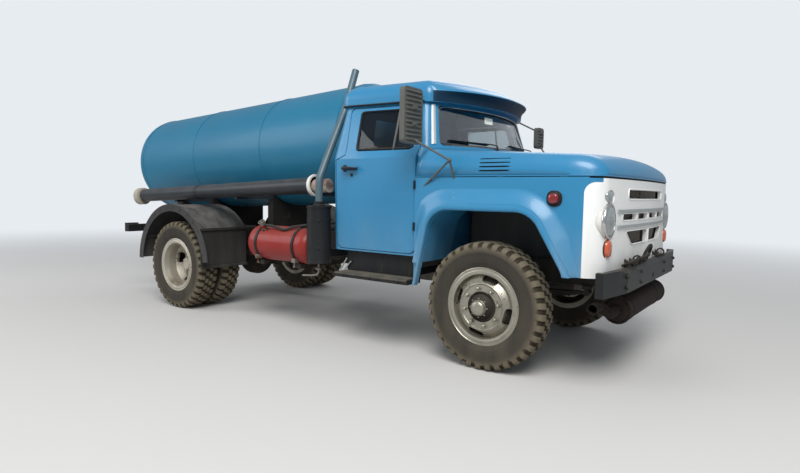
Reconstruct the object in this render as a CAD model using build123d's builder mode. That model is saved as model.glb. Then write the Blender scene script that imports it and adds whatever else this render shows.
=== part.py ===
"""A vacuum tanker truck with a bonneted cab, in millimetres.

+X points to the truck's front, +Y to its left side and +Z up. The origin is on the ground,
under the middle of the truck's length. The truck stands on its tyres.
"""
from build123d import *
import os
from math import atan2, cos, degrees, radians, sin

os.makedirs("parts", exist_ok=True)

# Overall places along the truck
wheelbase = 3800.0
front_overhang = 980.0
rear_overhang = 2000.0
front_axle_x = (wheelbase + rear_overhang - front_overhang) / 2
rear_axle_x = front_axle_x - wheelbase
SIDES = (("left", 1), ("right", -1))

# Clearances
door_gap = 6.0
seat_gap = 0.3
running_gap = 2.0
bearing_gap = 0.3

# Tyres and wheels
tyre_radius = 490.0
tyre_width = 236.0
axle_height = tyre_radius
rim_flange_radius = 292.0
rim_width = 196.0
rim_wall = 9.0
rim_well_radius = 246.0
disc_thickness = 12.0
hand_hole_circle = 208.0
hand_hole_count = 4
hand_hole_length = 130.0
hand_hole_width = 44.0
front_track = 1800.0
rear_track = 1790.0
twin_spacing = 300.0

# Steering
kingpin_y = 790.0
kingpin_radius = 19.0
steering_arm_reach = 155.0
tie_rod_radius = 17.0
ball_joint_radius = 27.0
ball_joint_height = 46.0

# Frame
frame_width = 865.0
rail_height = 180.0
rail_flange = 80.0
rail_wall = 8.0
frame_top = 825.0
frame_front_x = front_axle_x + 868.0
frame_rear_x = rear_axle_x - 1180.0
cross_member_width = 90.0
cross_member_height = 120.0
rail_bottom = frame_top - rail_height
rail_outer = frame_width / 2

# Springs
spring_y = 420.0
spring_width = 70.0
front_spring_length = 1200.0
rear_spring_length = 1350.0
hanger_length = 60.0

# Cab, places measured back from the front axle
cab_rear_x = front_axle_x - 1515.0
cab_wall = 45.0
cab_floor_z = frame_top + seat_gap
belt_z = 1625.0
sill_z = 1700.0
roof_z = 2085.0
roof_top_z = 2275.0
cab_half = 1020.0
belt_half = 1040.0
firewall_x = front_axle_x - 555.0
cowl_plate = 40.0
roof_fillet = 130.0
plan_corner = 75.0

# Doors
door_front_x = front_axle_x - 600.0
door_rear_x = front_axle_x - 1460.0
door_upper_rear_x = front_axle_x - 1365.0
door_upper_front_x = front_axle_x - 668.0
door_bottom_z = cab_floor_z + 13.0
door_shoulder_z = 1620.0
window_bottom_z = 1688.0
window_top_z = 2040.0
window_frame = 66.0
glass_thickness = 6.0
glass_inset = 18.0

# Bonnet, wings and nose
wing_front_x = front_axle_x + 770.0
wing_half = 1046.0
skin = 24.0
nose_half = 1020.0
nose_front_x = front_axle_x + 918.0
nose_side_front_x = front_axle_x + 852.0
nose_corner = 150.0
nose_bottom_z = 785.0
nose_top_z = 1452.0
bonnet_rear_z = 1722.0
bonnet_front_z = 1640.0
bonnet_shoulder = 88.0
louvre_count = 4
louvre_length = 245.0
louvre_pitch = 28.5
louvre_height = 11.0
arch_top_z = 1215.0
arch_tail_z = 600.0
arch_lip = 50.0
liner_thickness = 14.0
liner_inner_y = 600.0

# Front bumper
bumper_half = 1120.0
bumper_bottom_z = 675.0
bumper_height = 165.0
bumper_depth = 55.0
bumper_sweep = 60.0
bumper_slope = 26.0
bumper_x = front_axle_x + front_overhang

# Lamps
headlamp_y = 872.0
headlamp_z = 1165.0
headlamp_rim_radius = 118.0
parking_z = 1328.0
parking_width = 138.0
parking_height = 92.0
turn_z = 988.0
turn_width = 112.0
turn_height = 122.0

# Tank
tank_radius = 626.0
tank_front_x = front_axle_x - 1750.0
tank_front_z = 1861.0
tank_length = 3740.0
tank_tilt = 2.6
tank_dish = 178.0
tank_knuckle = 110.0
saddle_width = 90.0
saddle_half = 400.0

# Hose carriers and hoses
carrier_radius = 78.0
carrier_wall = 4.0
carrier_y = 905.0
carrier_front = 110.0
carrier_length = 3010.0
carrier_below_axis = 460.0
carrier_ring_radius = 98.0
carrier_ring_width = 22.0
hose_radius = 52.0
hose_front_reach = 175.0
hose_rear_reach = 120.0
hose_cuff_radius = 92.0
hose_cuff_length = 90.0

# Canister and vent pipe
canister_x = front_axle_x - 1640.0
canister_y = -1065.0
canister_radius = 108.0
canister_gap = 4.0
canister_bottom_z = 690.0
canister_top_z = 1208.0
vent_radius = 34.0
vent_wall = 3.0

# Gas cylinder
gas_radius = 172.0
gas_front_x = canister_x - canister_radius - canister_gap
gas_length = 858.0
gas_rear_x = gas_front_x - gas_length
gas_y = -965.0
gas_z = 822.0
gas_knuckle = 95.0
strap_thickness = 5.0
strap_width = 32.0
strap_inset = 170.0

# Rear wheel guards
guard_radius = 665.0
guard_lift = 15.0
guard_thickness = 5.0
guard_inner_y = 590.0
guard_outer_y = 1205.0
guard_skirt = 74.0
guard_bead = 11.0
guard_rear_angle = 178.0
guard_front_angle = 6.0
guard_sheet_angle = 38.0
guard_arm_radius = 15.0
guard_arm_angles = (39.0, 155.0)
flap_thickness = 12.0
flap_bottom_z = 490.0
flap_bar = 26.0

# Steps
step_front_x = front_axle_x - 600.0
step_rear_x = front_axle_x - 1385.0
step_top_z = 640.0
step_thickness = 38.0
step_outer_y = 1135.0
step_depth = 190.0

# Silencer
silencer_x = front_axle_x + 850.0
silencer_z = 500.0
silencer_radius = 98.0
silencer_right_y = -520.0
silencer_left_y = 640.0
tailpipe_radius = 36.0

# Front axle beam, knuckles and hubs
beam_height = 76.0
beam_width = 74.0
beam_drop = 40.0
kingpin_eye_radius = 44.0
kingpin_eye_height = 96.0
spindle_radius = 40.0
hub_radius = 92.0

# Details of the cab
door_corner = 70.0
door_top_corner = 40.0
door_top_z = roof_z - 15.0
door_shoulder_rise = 42.0
window_rear_x = front_axle_x - 1262.0
window_corner = 34.0
screen_bottom_z = 1722.0
screen_top_z = 2060.0
screen_low_half = 860.0
screen_high_half = 762.0
rear_window_half = 520.0
rear_window_low_z = 1735.0
rear_window_high_z = 2030.0
cab_reach = 300.0
cab_mid_x = (door_front_x + door_rear_x) / 2
ceiling_draw = 110.0
cowl_half = 962.0
bonnet_mid_rear_x = front_axle_x - 140.0
bonnet_side_rear_x = front_axle_x - 592.0
seat_rebate = 8.0
least_corner = 12.0
handle_x = front_axle_x - 1283.0
handle_z = 1540.0
handle_length = 150.0
handle_height = 30.0
handle_reach = 48.0
handle_sink = 20.0
door_leaf_y = 1003.0
door_leaf_width = 12.0
door_leaf_height = 70.0
# Door hinge rows: height
DOOR_HINGES = (1060.0, 1400.0)

# Details of the bonnet, nose and wings
bonnet_crown = 34.0
bonnet_bottom_z = 1468.0
bonnet_drop = 40.0
bonnet_drop_rise = 4.0
bonnet_drop_z = 1600.0
bonnet_lip = 6.0
bonnet_rear_cut_z = 1596.0
louvre_z = 1508.0
louvre_x = front_axle_x + 84.0
parking_y = 865.0
turn_y = 880.0
turn_tip = 16.0
headlamp_back_x = front_axle_x + 776.0
headlamp_face_x = front_axle_x + 872.0
headlamp_round = 26.0
parking_face_x = front_axle_x + 862.0
turn_face_x = front_axle_x + 868.0
air_slot_z = 1350.0
air_slot_half = 520.0
air_slot_height = 62.0
mouth_inner = 30.0
mouth_outer = 570.0
mouth_low_outer = 430.0
mouth_top_z = 1087.0
mouth_bottom_z = 985.0
bar_high_z = 1232.0
bar_low_z = 1122.0
bar_height = 20.0
bar_depth = 12.0
bar_half = 738.0
marker_x = front_axle_x + 543.0
marker_z = 1312.0
marker_length = 92.0
marker_depth = 22.0
marker_height = 44.0
tail_depth = 60.0
tail_width = 150.0
tail_height = 110.0
tail_y = 960.0
tail_z = 850.0
rear_bar_depth = 80.0
rear_bar_half = 1060.0
rear_bar_z = 845.0
rear_bar_height = 90.0
tail_x = frame_rear_x - seat_gap * 2 - rear_bar_depth - tail_depth / 2
arch_tail = 572.0
arch_rear = 440.0
arch_front = 390.0
arch_toe = 640.0
arch_toe_rise = 10.0
arch_corner = 205.0
wing_top_z = 1460.0
lip_reach = 40.0
rest_length = 50.0
# Bonnet rest rows: place ahead of the front axle
BONNET_RESTS = (-430.0, 130.0, 600.0)

# Details of the frame and running gear
horn_rear_x = front_axle_x + 780.0
horn_front_x = bumper_x - bumper_depth - seat_gap
horn_y = 392.0
horn_z = 715.0
horn_height = 110.0
mount_z = frame_top - 90.0
mount_height = 70.0
cross_member_z = frame_top - 85.0
engine_front_x = front_axle_x + 450.0
engine_rear_x = front_axle_x - 500.0
engine_half = 280.0
engine_bottom_z = 560.0
engine_top_z = 1290.0
gearbox_rear_x = front_axle_x - 1250.0
gearbox_half = 180.0
gearbox_z = 640.0
gearbox_height = 300.0
radiator_depth = 80.0
radiator_half = 340.0
radiator_height = 600.0
front_spring_seat_z = 520.0
front_spring_thickness = 60.0
front_eye_z = 592.0
rear_spring_seat_z = 556.0
rear_spring_thickness = 72.0
rear_eye_z = 604.0
spring_eye_radius = 26.0
spring_tip = 16.0
spring_pad_length = 150.0
beam_bend_y = 560.0
beam_z = axle_height - beam_drop
pin_gap = 1.0
knuckle_lug = 32.0
knuckle_clearance = 8.0
knuckle_web = 34.0
spindle_length = 130.0
arm_width = 44.0
banjo_radius = 215.0
banjo_depth = 250.0
banjo_round = 90.0
axle_tube_radius = 62.0
axle_tube_reach = 760.0
rear_spindle_radius = 48.0
rear_spindle_reach = 985.0
pinion_x = rear_axle_x + 330.0
pinion_radius = 70.0
shaft_radius = 38.0
joint_length = 60.0
bead_radius = 256.0
wall_radius = 388.0
shoulder_radius = 462.0
tread_width = 200.0
shoulder_drop = 8.0
rim_step = 52.0
disc_root = 30.0
disc_knee_radius = 182.0
hand_hole_turn = 15.0
front_disc_offset = 104.0
hub_cap_reach = 72.0
hub_cap_radius = 46.0
hub_step = 8.0
drum_start = 24.0
drum_radius = 190.0
drum_inner = -20.0
rear_hub_reach = 118.0
rear_hub_cap_radius = 70.0
rear_hub_step = 70.0
rear_drum_reach = 120.0

# Details of the tank and its fittings
neck_radius = 235.0
neck_reach = 30.0
hatch_up = 20.0
lid_seat = 1.0
lid_radius = 250.0
lid_thickness = 14.0
lid_boss_radius = 60.0
lid_boss_height = 16.0
hinge_spacing = 150.0
hinge_width = 40.0
hinge_gap = 6.0
hinge_radius = 12.0
hinge_y = 275.0
hinge_reach = 70.0
hinge_sink = 20.0
subframe_front_x = front_axle_x - 1800.0
subframe_height = 95.0
arm_height = 40.0
mouth_reach = 136.0
valve_z = 1290.0
valve_radius = 58.0
valve_length = 400.0
valve_bore = 48.0
coupling_radius = 78.0
coupling_length = 50.0
gate_start = 70.0
gate_depth = 44.0
gate_neck = 60.0
gate_rise = 60.0
canister_round = 12.0
canister_rim = 14.0
canister_arm_z = 770.0
canister_arm_width = 60.0
canister_arm_height = 70.0
bracket_plate = 12.0
bracket_length = 160.0
vent_bend = 170.0
valve_inset = 235.0
valve_turn = 35.0
gas_valve_radius = 26.0
gas_valve_reach = 120.0
cradle_height = 42.0
cradle_width = 60.0
fuel_behind = 400.0
fuel_x = tank_front_x - fuel_behind
fuel_y = 720.0
fuel_z = 640.0
fuel_length = 700.0
fuel_width = 420.0
fuel_height = 360.0
fuel_round = 60.0
fuel_cap_radius = 45.0
fuel_cap_height = 40.0
pump_y = 680.0
pump_z = 985.0
pump_radius = 95.0
pump_length = 280.0
pump_flange = 16.0
pump_line_z = 1000.0
pump_line_radius = 32.0
bumper_end_x = front_axle_x + 868.0
bumper_flat = 760.0
crank_z = 718.0
crank_radius = 22.0
hook_x = front_axle_x + 947.0
hook_ring = 22.0
hook_bar = 11.0
step_arm = 50.0
silencer_round = 40.0
tailpipe_bend_y = -690.0
tailpipe_x = front_axle_x + 790.0
tailpipe_turn_y = -740.0
tailpipe_z = 560.0
tailpipe_end_y = -900.0
tailpipe_bend = 40.0
mirror_depth = 44.0
mirror_round = 34.0
mirror_rod = 8.0
mirror_knee_x = front_axle_x - 245.0
mirror_knee_y = 1110.0
mirror_knee_z = 1585.0
wing_foot_z = 1430.0
pillar_foot_x = front_axle_x - 575.0
pillar_foot_z = 1350.0
roof_foot_x = front_axle_x - 640.0
roof_foot_y = 900.0
roof_foot_z = 2120.0

# Details of the cab's inside
column_angle = 38.0
column_radius = 26.0
column_length = 330.0
steering_wheel_x = front_axle_x - 905.0
steering_wheel_y = 460.0
steering_wheel_z = 1600.0
steering_wheel_radius = 205.0
wheel_rim_radius = 13.0
wheel_hub_radius = 42.0
wheel_hub_height = 40.0
spoke_count = 3
spoke_width = 34.0
spoke_thickness = 16.0
dash_depth = 170.0
dash_half = 900.0
dash_height = 260.0
dash_round = 60.0
seat_x = front_axle_x - 1190.0
seat_y = 470.0
seat_base_length = 400.0
seat_base_width = 420.0
seat_base_height = 270.0
cushion_length = 500.0
cushion_width = 500.0
cushion_height = 120.0
cushion_round = 40.0
back_depth = 120.0
back_height = 520.0

# Cab section rows: height, rear x, rear half width, front x, front half width, middle of the front
LOWER_SECTIONS = (
    (cab_floor_z, cab_rear_x, cab_half, firewall_x, cab_half, firewall_x + 1.0),
    (belt_z, cab_rear_x, belt_half, firewall_x, belt_half, firewall_x + 1.0),
    (sill_z, cab_rear_x, cab_half, firewall_x, cab_half - 35.0, firewall_x + 1.0),
)
UPPER_SECTIONS = (
    (sill_z, cab_rear_x, cab_half, front_axle_x - 560.0, 970.0, front_axle_x - 240.0),
    (roof_z, cab_rear_x + 55.0, 940.0, front_axle_x - 630.0, 852.0, front_axle_x - 420.0),
)
ROOF_SECTION = (cab_rear_x + 30.0, 958.0, front_axle_x - 600.0, 868.0, front_axle_x - 340.0)


def plan_face(height, rear_x, rear_half, front_x, front_half, middle_x, inset=0.0):
    """One cab section in plan: straight back and sides, an arc at the front, round corners."""
    with BuildSketch(Plane.XY.offset(height)) as section:
        with BuildLine():
            Polyline(
                (front_x - inset, inset - front_half),
                (rear_x + inset, inset - rear_half),
                (rear_x + inset, rear_half - inset),
                (front_x - inset, front_half - inset),
            )
            ThreePointArc(
                (front_x - inset, front_half - inset),
                (middle_x - inset, 0),
                (front_x - inset, inset - front_half),
            )
        make_face()
        fillet(section.vertices(), max(plan_corner - inset, least_corner))
    return section.sketch


def cab_form(rows, inset=0.0):
    """Join the plan sections of the rows, all drawn in by the same distance."""
    faces = [plan_face(*row, inset) for row in rows]
    with BuildPart() as form:
        loft(sections=faces, ruled=True)
    return form.part


def door_outline(inset):
    """The door seen from the side, drawn in by the inset."""
    with BuildSketch(Plane.XZ) as outline:
        with BuildLine():
            Polyline(
                (door_front_x - inset, door_bottom_z + inset),
                (door_rear_x + inset, door_bottom_z + inset),
                (door_rear_x + inset, door_shoulder_z - inset),
                (door_upper_rear_x + inset, door_shoulder_z + door_shoulder_rise - inset),
                (door_upper_rear_x + inset, door_top_z - inset),
                (door_upper_front_x - inset, door_top_z - inset),
                (door_front_x - inset, sill_z - inset),
                close=True,
            )
        make_face()
        fillet(outline.vertices().group_by(Axis.Y)[0], door_corner)
        fillet(outline.vertices().group_by(Axis.Y)[-1], door_top_corner)
    return outline.sketch


def window_outline(shrink):
    """The door window seen from the side, drawn in by the shrink."""
    lean = (door_front_x - door_upper_front_x) / (roof_z - sill_z)
    front_low = door_front_x - window_frame - lean * (window_bottom_z - sill_z)
    front_high = door_front_x - window_frame - lean * (window_top_z - sill_z)
    with BuildSketch(Plane.XZ) as outline:
        with BuildLine():
            Polyline(
                (front_low - shrink, window_bottom_z + shrink),
                (window_rear_x + shrink, window_bottom_z + shrink),
                (window_rear_x + shrink, window_top_z - shrink),
                (front_high - shrink, window_top_z - shrink),
                close=True,
            )
        make_face()
        fillet(outline.vertices(), window_corner - shrink)
    return outline.sketch


def screen_outline(shrink):
    """The windscreen seen from the front, drawn in by the shrink."""
    with BuildSketch(Plane.YZ.offset(cab_mid_x)) as outline:
        with BuildLine():
            Polyline(
                (-screen_low_half + shrink, screen_bottom_z + shrink),
                (screen_low_half - shrink, screen_bottom_z + shrink),
                (screen_high_half - shrink, screen_top_z - shrink),
                (-screen_high_half + shrink, screen_top_z - shrink),
                close=True,
            )
        make_face()
        fillet(outline.vertices(), window_corner - shrink)
    return outline.sketch


def rear_window_outline(shrink):
    """The rear window seen from behind, drawn in by the shrink."""
    with BuildSketch(Plane.YZ.offset(cab_rear_x)) as outline:
        with Locations((0, (rear_window_low_z + rear_window_high_z) / 2)):
            RectangleRounded(
                2 * (rear_window_half - shrink),
                rear_window_high_z - rear_window_low_z - 2 * shrink,
                window_corner - shrink,
            )
    return outline.sketch


def glass_layer(rows):
    """A skin as thick as the glass, within the cab's wall."""
    with BuildPart() as layer:
        add(cab_form(rows, glass_inset))
        add(cab_form(rows, glass_inset + glass_thickness), mode=Mode.SUBTRACT)
    return layer.part


def save(piece, name):
    """Name the piece and write its file."""
    piece.label = name
    export_step(piece, f"parts/{name}.step")


# Cab shell: the skin of walls, from which the doors and windows are cut
with BuildPart() as cab_skin:
    add(cab_form(LOWER_SECTIONS))
    add(cab_form(LOWER_SECTIONS, cab_wall), mode=Mode.SUBTRACT)
    add(cab_form(UPPER_SECTIONS))
    add(cab_form(UPPER_SECTIONS, cab_wall), mode=Mode.SUBTRACT)

with BuildPart() as left_skin:
    add(cab_skin.part)
    split(bisect_by=Plane.XZ, keep=Keep.BOTTOM)

with BuildPart() as cab_roof:
    extrude(plan_face(roof_z, *ROOF_SECTION), amount=roof_top_z - roof_z)
    fillet(cab_roof.edges().group_by(Axis.Z)[-1], roof_fillet)
    ceiling = [
        plan_face(roof_z, *UPPER_SECTIONS[1][1:], cab_wall),
        plan_face(roof_top_z - cab_wall, *UPPER_SECTIONS[1][1:], cab_wall + ceiling_draw),
    ]
    loft(sections=ceiling, ruled=True, mode=Mode.SUBTRACT)

bonnet_sag = bonnet_mid_rear_x - bonnet_side_rear_x
bonnet_rear_half = wing_half - door_gap
bonnet_rear_radius = (bonnet_rear_half**2 + bonnet_sag**2) / (2 * bonnet_sag)
bonnet_rear_center_x = bonnet_mid_rear_x - bonnet_rear_radius
floor_half = cab_half - cab_wall - door_gap
# Rebate rows of the cab's front corners, for wing and bonnet: low z, high z, y of the face
REBATES = (
    (cab_floor_z, wing_top_z, wing_half - skin - seat_gap),
    (wing_top_z, sill_z, wing_half - skin - seat_rebate),
)

with BuildPart() as shell_half:
    add(cab_skin.part)
    add(cab_roof.part)
    extrude(screen_outline(0), amount=cab_reach * 4, mode=Mode.SUBTRACT)
    extrude(rear_window_outline(0), amount=cab_reach, both=True, mode=Mode.SUBTRACT)
    split(bisect_by=Plane.XZ, keep=Keep.BOTTOM)
    extrude(door_outline(0), amount=-2 * cab_half, mode=Mode.SUBTRACT)
    with BuildSketch(Plane.XY.offset(cab_floor_z)):
        with Locations(((cab_rear_x + firewall_x) / 2, 0)):
            Rectangle(firewall_x - cab_rear_x - cab_wall, floor_half, align=(Align.CENTER, Align.MIN))
    extrude(amount=cab_wall)
    with BuildSketch(Plane.XY.offset(sill_z - cowl_plate)):
        with Locations((bonnet_rear_center_x, 0)):
            Circle(bonnet_rear_radius - door_gap)
        with Locations((firewall_x - cab_wall, 0)):
            Rectangle(cab_reach * 4, cowl_half, align=(Align.MIN, Align.MIN), mode=Mode.INTERSECT)
    extrude(amount=cowl_plate)
    for low_z, high_z, face_y in REBATES:
        with BuildSketch(Plane.XY.offset(low_z)):
            with Locations((door_front_x, face_y)):
                Rectangle(cab_reach * 4, cab_wall * 2, align=(Align.MIN, Align.MIN))
        extrude(amount=high_z - low_z, mode=Mode.SUBTRACT)

with BuildPart() as cab_shell:
    add(shell_half.part)
    mirror(about=Plane.XZ)
save(cab_shell.part, "cab_shell")

with BuildPart() as cab_glass:
    add(glass_layer(UPPER_SECTIONS))
    extrude(screen_outline(seat_gap), amount=cab_reach * 4, mode=Mode.INTERSECT)
with BuildPart() as rear_glass:
    add(glass_layer(UPPER_SECTIONS))
    extrude(rear_window_outline(seat_gap), amount=cab_reach, both=True, mode=Mode.INTERSECT)
save(Compound(children=[cab_glass.part, rear_glass.part]), "cab_glass")

# Doors with their handles, and the glass in them
with BuildPart() as left_door:
    add(left_skin.part)
    extrude(door_outline(door_gap), amount=-2 * cab_half, mode=Mode.INTERSECT)
    extrude(window_outline(0), amount=-2 * cab_half, mode=Mode.SUBTRACT)
    with Locations((handle_x, belt_half + handle_reach / 2 - handle_sink, handle_z)):
        Box(handle_length, handle_reach, handle_height)
    for height in DOOR_HINGES:
        with Locations((door_front_x - seat_gap, door_leaf_y, height)):
            Box(2 * door_gap, door_leaf_width, door_leaf_height,
                align=(Align.MAX, Align.CENTER, Align.CENTER))
save(left_door.part, "door_left")

with BuildPart() as right_door:
    mirror(left_door.part, about=Plane.XZ)
save(right_door.part, "door_right")

with BuildPart() as left_glass:
    add(glass_layer(UPPER_SECTIONS))
    extrude(window_outline(seat_gap), amount=-2 * cab_half, mode=Mode.INTERSECT)
save(left_glass.part, "door_glass_left")

with BuildPart() as right_glass:
    mirror(left_glass.part, about=Plane.XZ)
save(right_glass.part, "door_glass_right")


def nose_plan(inset, rear_x):
    """The plan of the bonnet and nose ahead of a place, round in front, drawn in by the inset."""
    with BuildSketch() as plan:
        with BuildLine():
            Polyline(
                (nose_side_front_x - inset, inset - nose_half),
                (bonnet_side_rear_x, inset - wing_half),
                (bonnet_side_rear_x, wing_half - inset),
                (nose_side_front_x - inset, nose_half - inset),
            )
            ThreePointArc(
                (nose_side_front_x - inset, nose_half - inset),
                (nose_front_x - inset, 0),
                (nose_side_front_x - inset, inset - nose_half),
            )
        make_face()
        fillet(plan.vertices().group_by(Axis.X)[-1], nose_corner - inset)
        with Locations((rear_x, 0)):
            Rectangle(wheelbase, wheelbase, align=(Align.MIN, Align.CENTER), mode=Mode.INTERSECT)
    return plan.sketch


def bonnet_form(inset):
    """The bonnet's shape from section, plan and side profile, drawn in by the inset."""
    slope = (bonnet_rear_z - bonnet_front_z) / (wing_front_x - bonnet_side_rear_x)
    shoulder_z = bonnet_rear_z - bonnet_crown - inset
    with BuildPart() as form:
        with BuildSketch(Plane.YZ.offset(bonnet_side_rear_x)) as section:
            with BuildLine():
                Polyline(
                    (wing_half - inset, shoulder_z),
                    (wing_half - inset, 0),
                    (inset - wing_half, 0),
                    (inset - wing_half, shoulder_z),
                )
                ThreePointArc(
                    (inset - wing_half, shoulder_z),
                    (0, bonnet_rear_z - inset),
                    (wing_half - inset, shoulder_z),
                )
            make_face()
            fillet(section.vertices().group_by(Axis.Y)[-1], bonnet_shoulder - inset)
        extrude(amount=cab_reach * 6, dir=(1, 0, -slope))
        with BuildSketch(Plane.XY.offset(bonnet_bottom_z - inset)):
            add(nose_plan(inset, bonnet_side_rear_x + inset))
            with Locations((bonnet_rear_center_x, 0)):
                Circle(bonnet_rear_radius + inset, mode=Mode.SUBTRACT)
        extrude(amount=cab_reach * 2, mode=Mode.INTERSECT)
        with BuildSketch(Plane.XZ):
            with BuildLine():
                ThreePointArc(
                    (wing_front_x - bonnet_drop, bonnet_front_z + bonnet_drop_rise - inset),
                    (wing_front_x + bonnet_drop, bonnet_drop_z - inset),
                    (nose_front_x - inset, bonnet_bottom_z + bonnet_lip),
                )
                Polyline(
                    (nose_front_x - inset, bonnet_bottom_z + bonnet_lip),
                    (nose_front_x - inset, 0),
                    (bonnet_side_rear_x, 0),
                    (bonnet_side_rear_x, roof_z),
                    (wing_front_x - bonnet_drop, roof_z),
                    (wing_front_x - bonnet_drop, bonnet_front_z + bonnet_drop_rise - inset),
                )
            make_face()
        extrude(amount=2 * wing_half, both=True, mode=Mode.INTERSECT)
    return form.part


def side_half(x):
    """Half the width over the wings at a place along the truck."""
    share = (x - bonnet_side_rear_x) / (nose_side_front_x - bonnet_side_rear_x)
    return wing_half + share * (nose_half - wing_half)


# Bonnet, hollow below, with slots along its sides
with BuildPart() as bonnet:
    add(bonnet_form(0))
    add(bonnet_form(skin), mode=Mode.SUBTRACT)
    with Locations((bonnet_side_rear_x, 0, bonnet_rear_cut_z)):
        Box(2 * bonnet_sag + 2 * skin, 2 * bonnet_rear_half - 2 * skin, bonnet_rear_cut_z,
            align=(Align.CENTER, Align.CENTER, Align.MAX), mode=Mode.SUBTRACT)
    for row in range(louvre_count):
        height = louvre_z + row * louvre_pitch
        with Locations((louvre_x, 0, height)):
            Box(louvre_length, 2 * wing_half, louvre_height, mode=Mode.SUBTRACT)
save(bonnet.part, "bonnet")

# Nose panel: the white front with its slots and lamp holes
headlamp_places = [(side * headlamp_y, headlamp_z) for name, side in SIDES]
parking_places = [(side * parking_y, parking_z) for name, side in SIDES]
turn_places = [(side * turn_y, turn_z) for name, side in SIDES]
# Slot rows: middle y, height of the middle, width, height of the slot
SLOTS = (
    (160.0, 1188.0, 268.0, 44.0),
    (488.0, 1188.0, 292.0, 44.0),
)


def turn_outline(shrink):
    """A turn signal seen from the front: round above, narrow below."""
    with BuildSketch() as outline:
        Circle(turn_width / 2 - shrink)
        with BuildLine():
            Polyline(
                (-turn_width / 2 + shrink, 0),
                (-turn_tip + shrink, -turn_height + turn_width / 2 + shrink),
                (turn_tip - shrink, -turn_height + turn_width / 2 + shrink),
                (turn_width / 2 - shrink, 0),
                close=True,
            )
        make_face()
    return outline.sketch


with BuildPart() as nose_panel:
    with BuildSketch(Plane.XY.offset(nose_bottom_z)):
        add(nose_plan(0, wing_front_x))
        add(nose_plan(skin, wing_front_x), mode=Mode.SUBTRACT)
    extrude(amount=nose_top_z - nose_bottom_z)
    with BuildSketch(Plane.YZ) as holes:
        with Locations(*headlamp_places):
            Circle(headlamp_rim_radius + seat_gap)
        with Locations(*parking_places):
            Ellipse(parking_width / 2 + seat_gap, parking_height / 2 + seat_gap)
        with Locations(*turn_places):
            add(turn_outline(-seat_gap))
        for middle, height, width, tall in SLOTS:
            with Locations((middle, height), (-middle, height)):
                Rectangle(width, tall)
        with Locations((0, air_slot_z)):
            Rectangle(2 * air_slot_half, air_slot_height)
        with BuildLine():
            Polyline(
                (mouth_inner, mouth_top_z),
                (mouth_outer, mouth_top_z),
                (mouth_low_outer, mouth_bottom_z),
                (mouth_inner, mouth_bottom_z),
                close=True,
            )
        make_face()
        with BuildLine():
            Polyline(
                (-mouth_inner, mouth_top_z),
                (-mouth_outer, mouth_top_z),
                (-mouth_low_outer, mouth_bottom_z),
                (-mouth_inner, mouth_bottom_z),
                close=True,
            )
        make_face()
    extrude(amount=front_axle_x * 2, mode=Mode.SUBTRACT)
save(nose_panel.part, "nose_panel")

# Grille bars, seated on the nose
with BuildPart() as grille_bars:
    for height in (bar_high_z, bar_low_z):
        with BuildSketch(Plane.XY.offset(height - bar_height / 2)):
            add(nose_plan(-bar_depth, wing_front_x))
            add(nose_plan(-seat_gap, wing_front_x), mode=Mode.SUBTRACT)
            with Locations((nose_front_x, 0)):
                Rectangle(2 * cab_reach, 2 * bar_half, mode=Mode.INTERSECT)
        extrude(amount=bar_height)
save(grille_bars.part, "grille_bars")

# Front lamps: headlamps with their rims, and parking lamps above them
with BuildPart() as front_lamps:
    with Locations(*[Plane.YZ.offset(headlamp_back_x) * Location(place) for place in headlamp_places]):
        Cylinder(headlamp_rim_radius, headlamp_face_x - headlamp_back_x,
                 align=(Align.CENTER, Align.CENTER, Align.MIN))
    fillet(front_lamps.edges().group_by(Axis.X)[-1], headlamp_round)
    with BuildSketch(Plane.YZ.offset(headlamp_back_x)):
        with Locations(*parking_places):
            Ellipse(parking_width / 2, parking_height / 2)
    extrude(amount=parking_face_x - headlamp_back_x)
save(front_lamps.part, "front_lamps")

# Signal lamps: turn signals, side markers and tail lamps
with BuildPart() as signal_lamps:
    with BuildSketch(Plane.YZ.offset(headlamp_back_x)):
        with Locations(*turn_places):
            add(turn_outline(0))
    extrude(amount=turn_face_x - headlamp_back_x)
    marker_y = side_half(marker_x - marker_length / 2) + seat_gap + marker_depth / 2
    for name, side in SIDES:
        with Locations((marker_x, side * marker_y, marker_z)):
            Box(marker_length, marker_depth, marker_height)
        with Locations((tail_x, side * tail_y, tail_z)):
            Box(tail_depth, tail_width, tail_height)
save(signal_lamps.part, "signal_lamps")


def arch_outline(grow):
    """The front wheel arch seen from the side, drawn out by the grow."""
    with BuildSketch(Plane.XZ) as outline:
        with BuildLine():
            Polyline(
                (front_axle_x - arch_tail - grow, 0),
                (front_axle_x - arch_tail - grow, arch_tail_z),
                (front_axle_x - arch_rear - grow, arch_top_z + grow),
                (front_axle_x + arch_front + grow / 2, arch_top_z + grow),
                (front_axle_x + arch_toe + grow, nose_bottom_z + arch_toe_rise),
                (front_axle_x + arch_toe + grow, 0),
                close=True,
            )
        make_face()
        fillet(outline.vertices().group_by(Axis.Y)[1:], arch_corner + grow)
    return outline.sketch


# Front wings: side skin, wheel arch lip, the liner over the wheel and the bonnet's rests
wing_rear_x = door_front_x + 2 * seat_gap
wing_strip = bonnet_side_rear_x - wing_rear_x
lip_outer_y = wing_half + lip_reach
lip_inner_y = wing_half - skin
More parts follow.
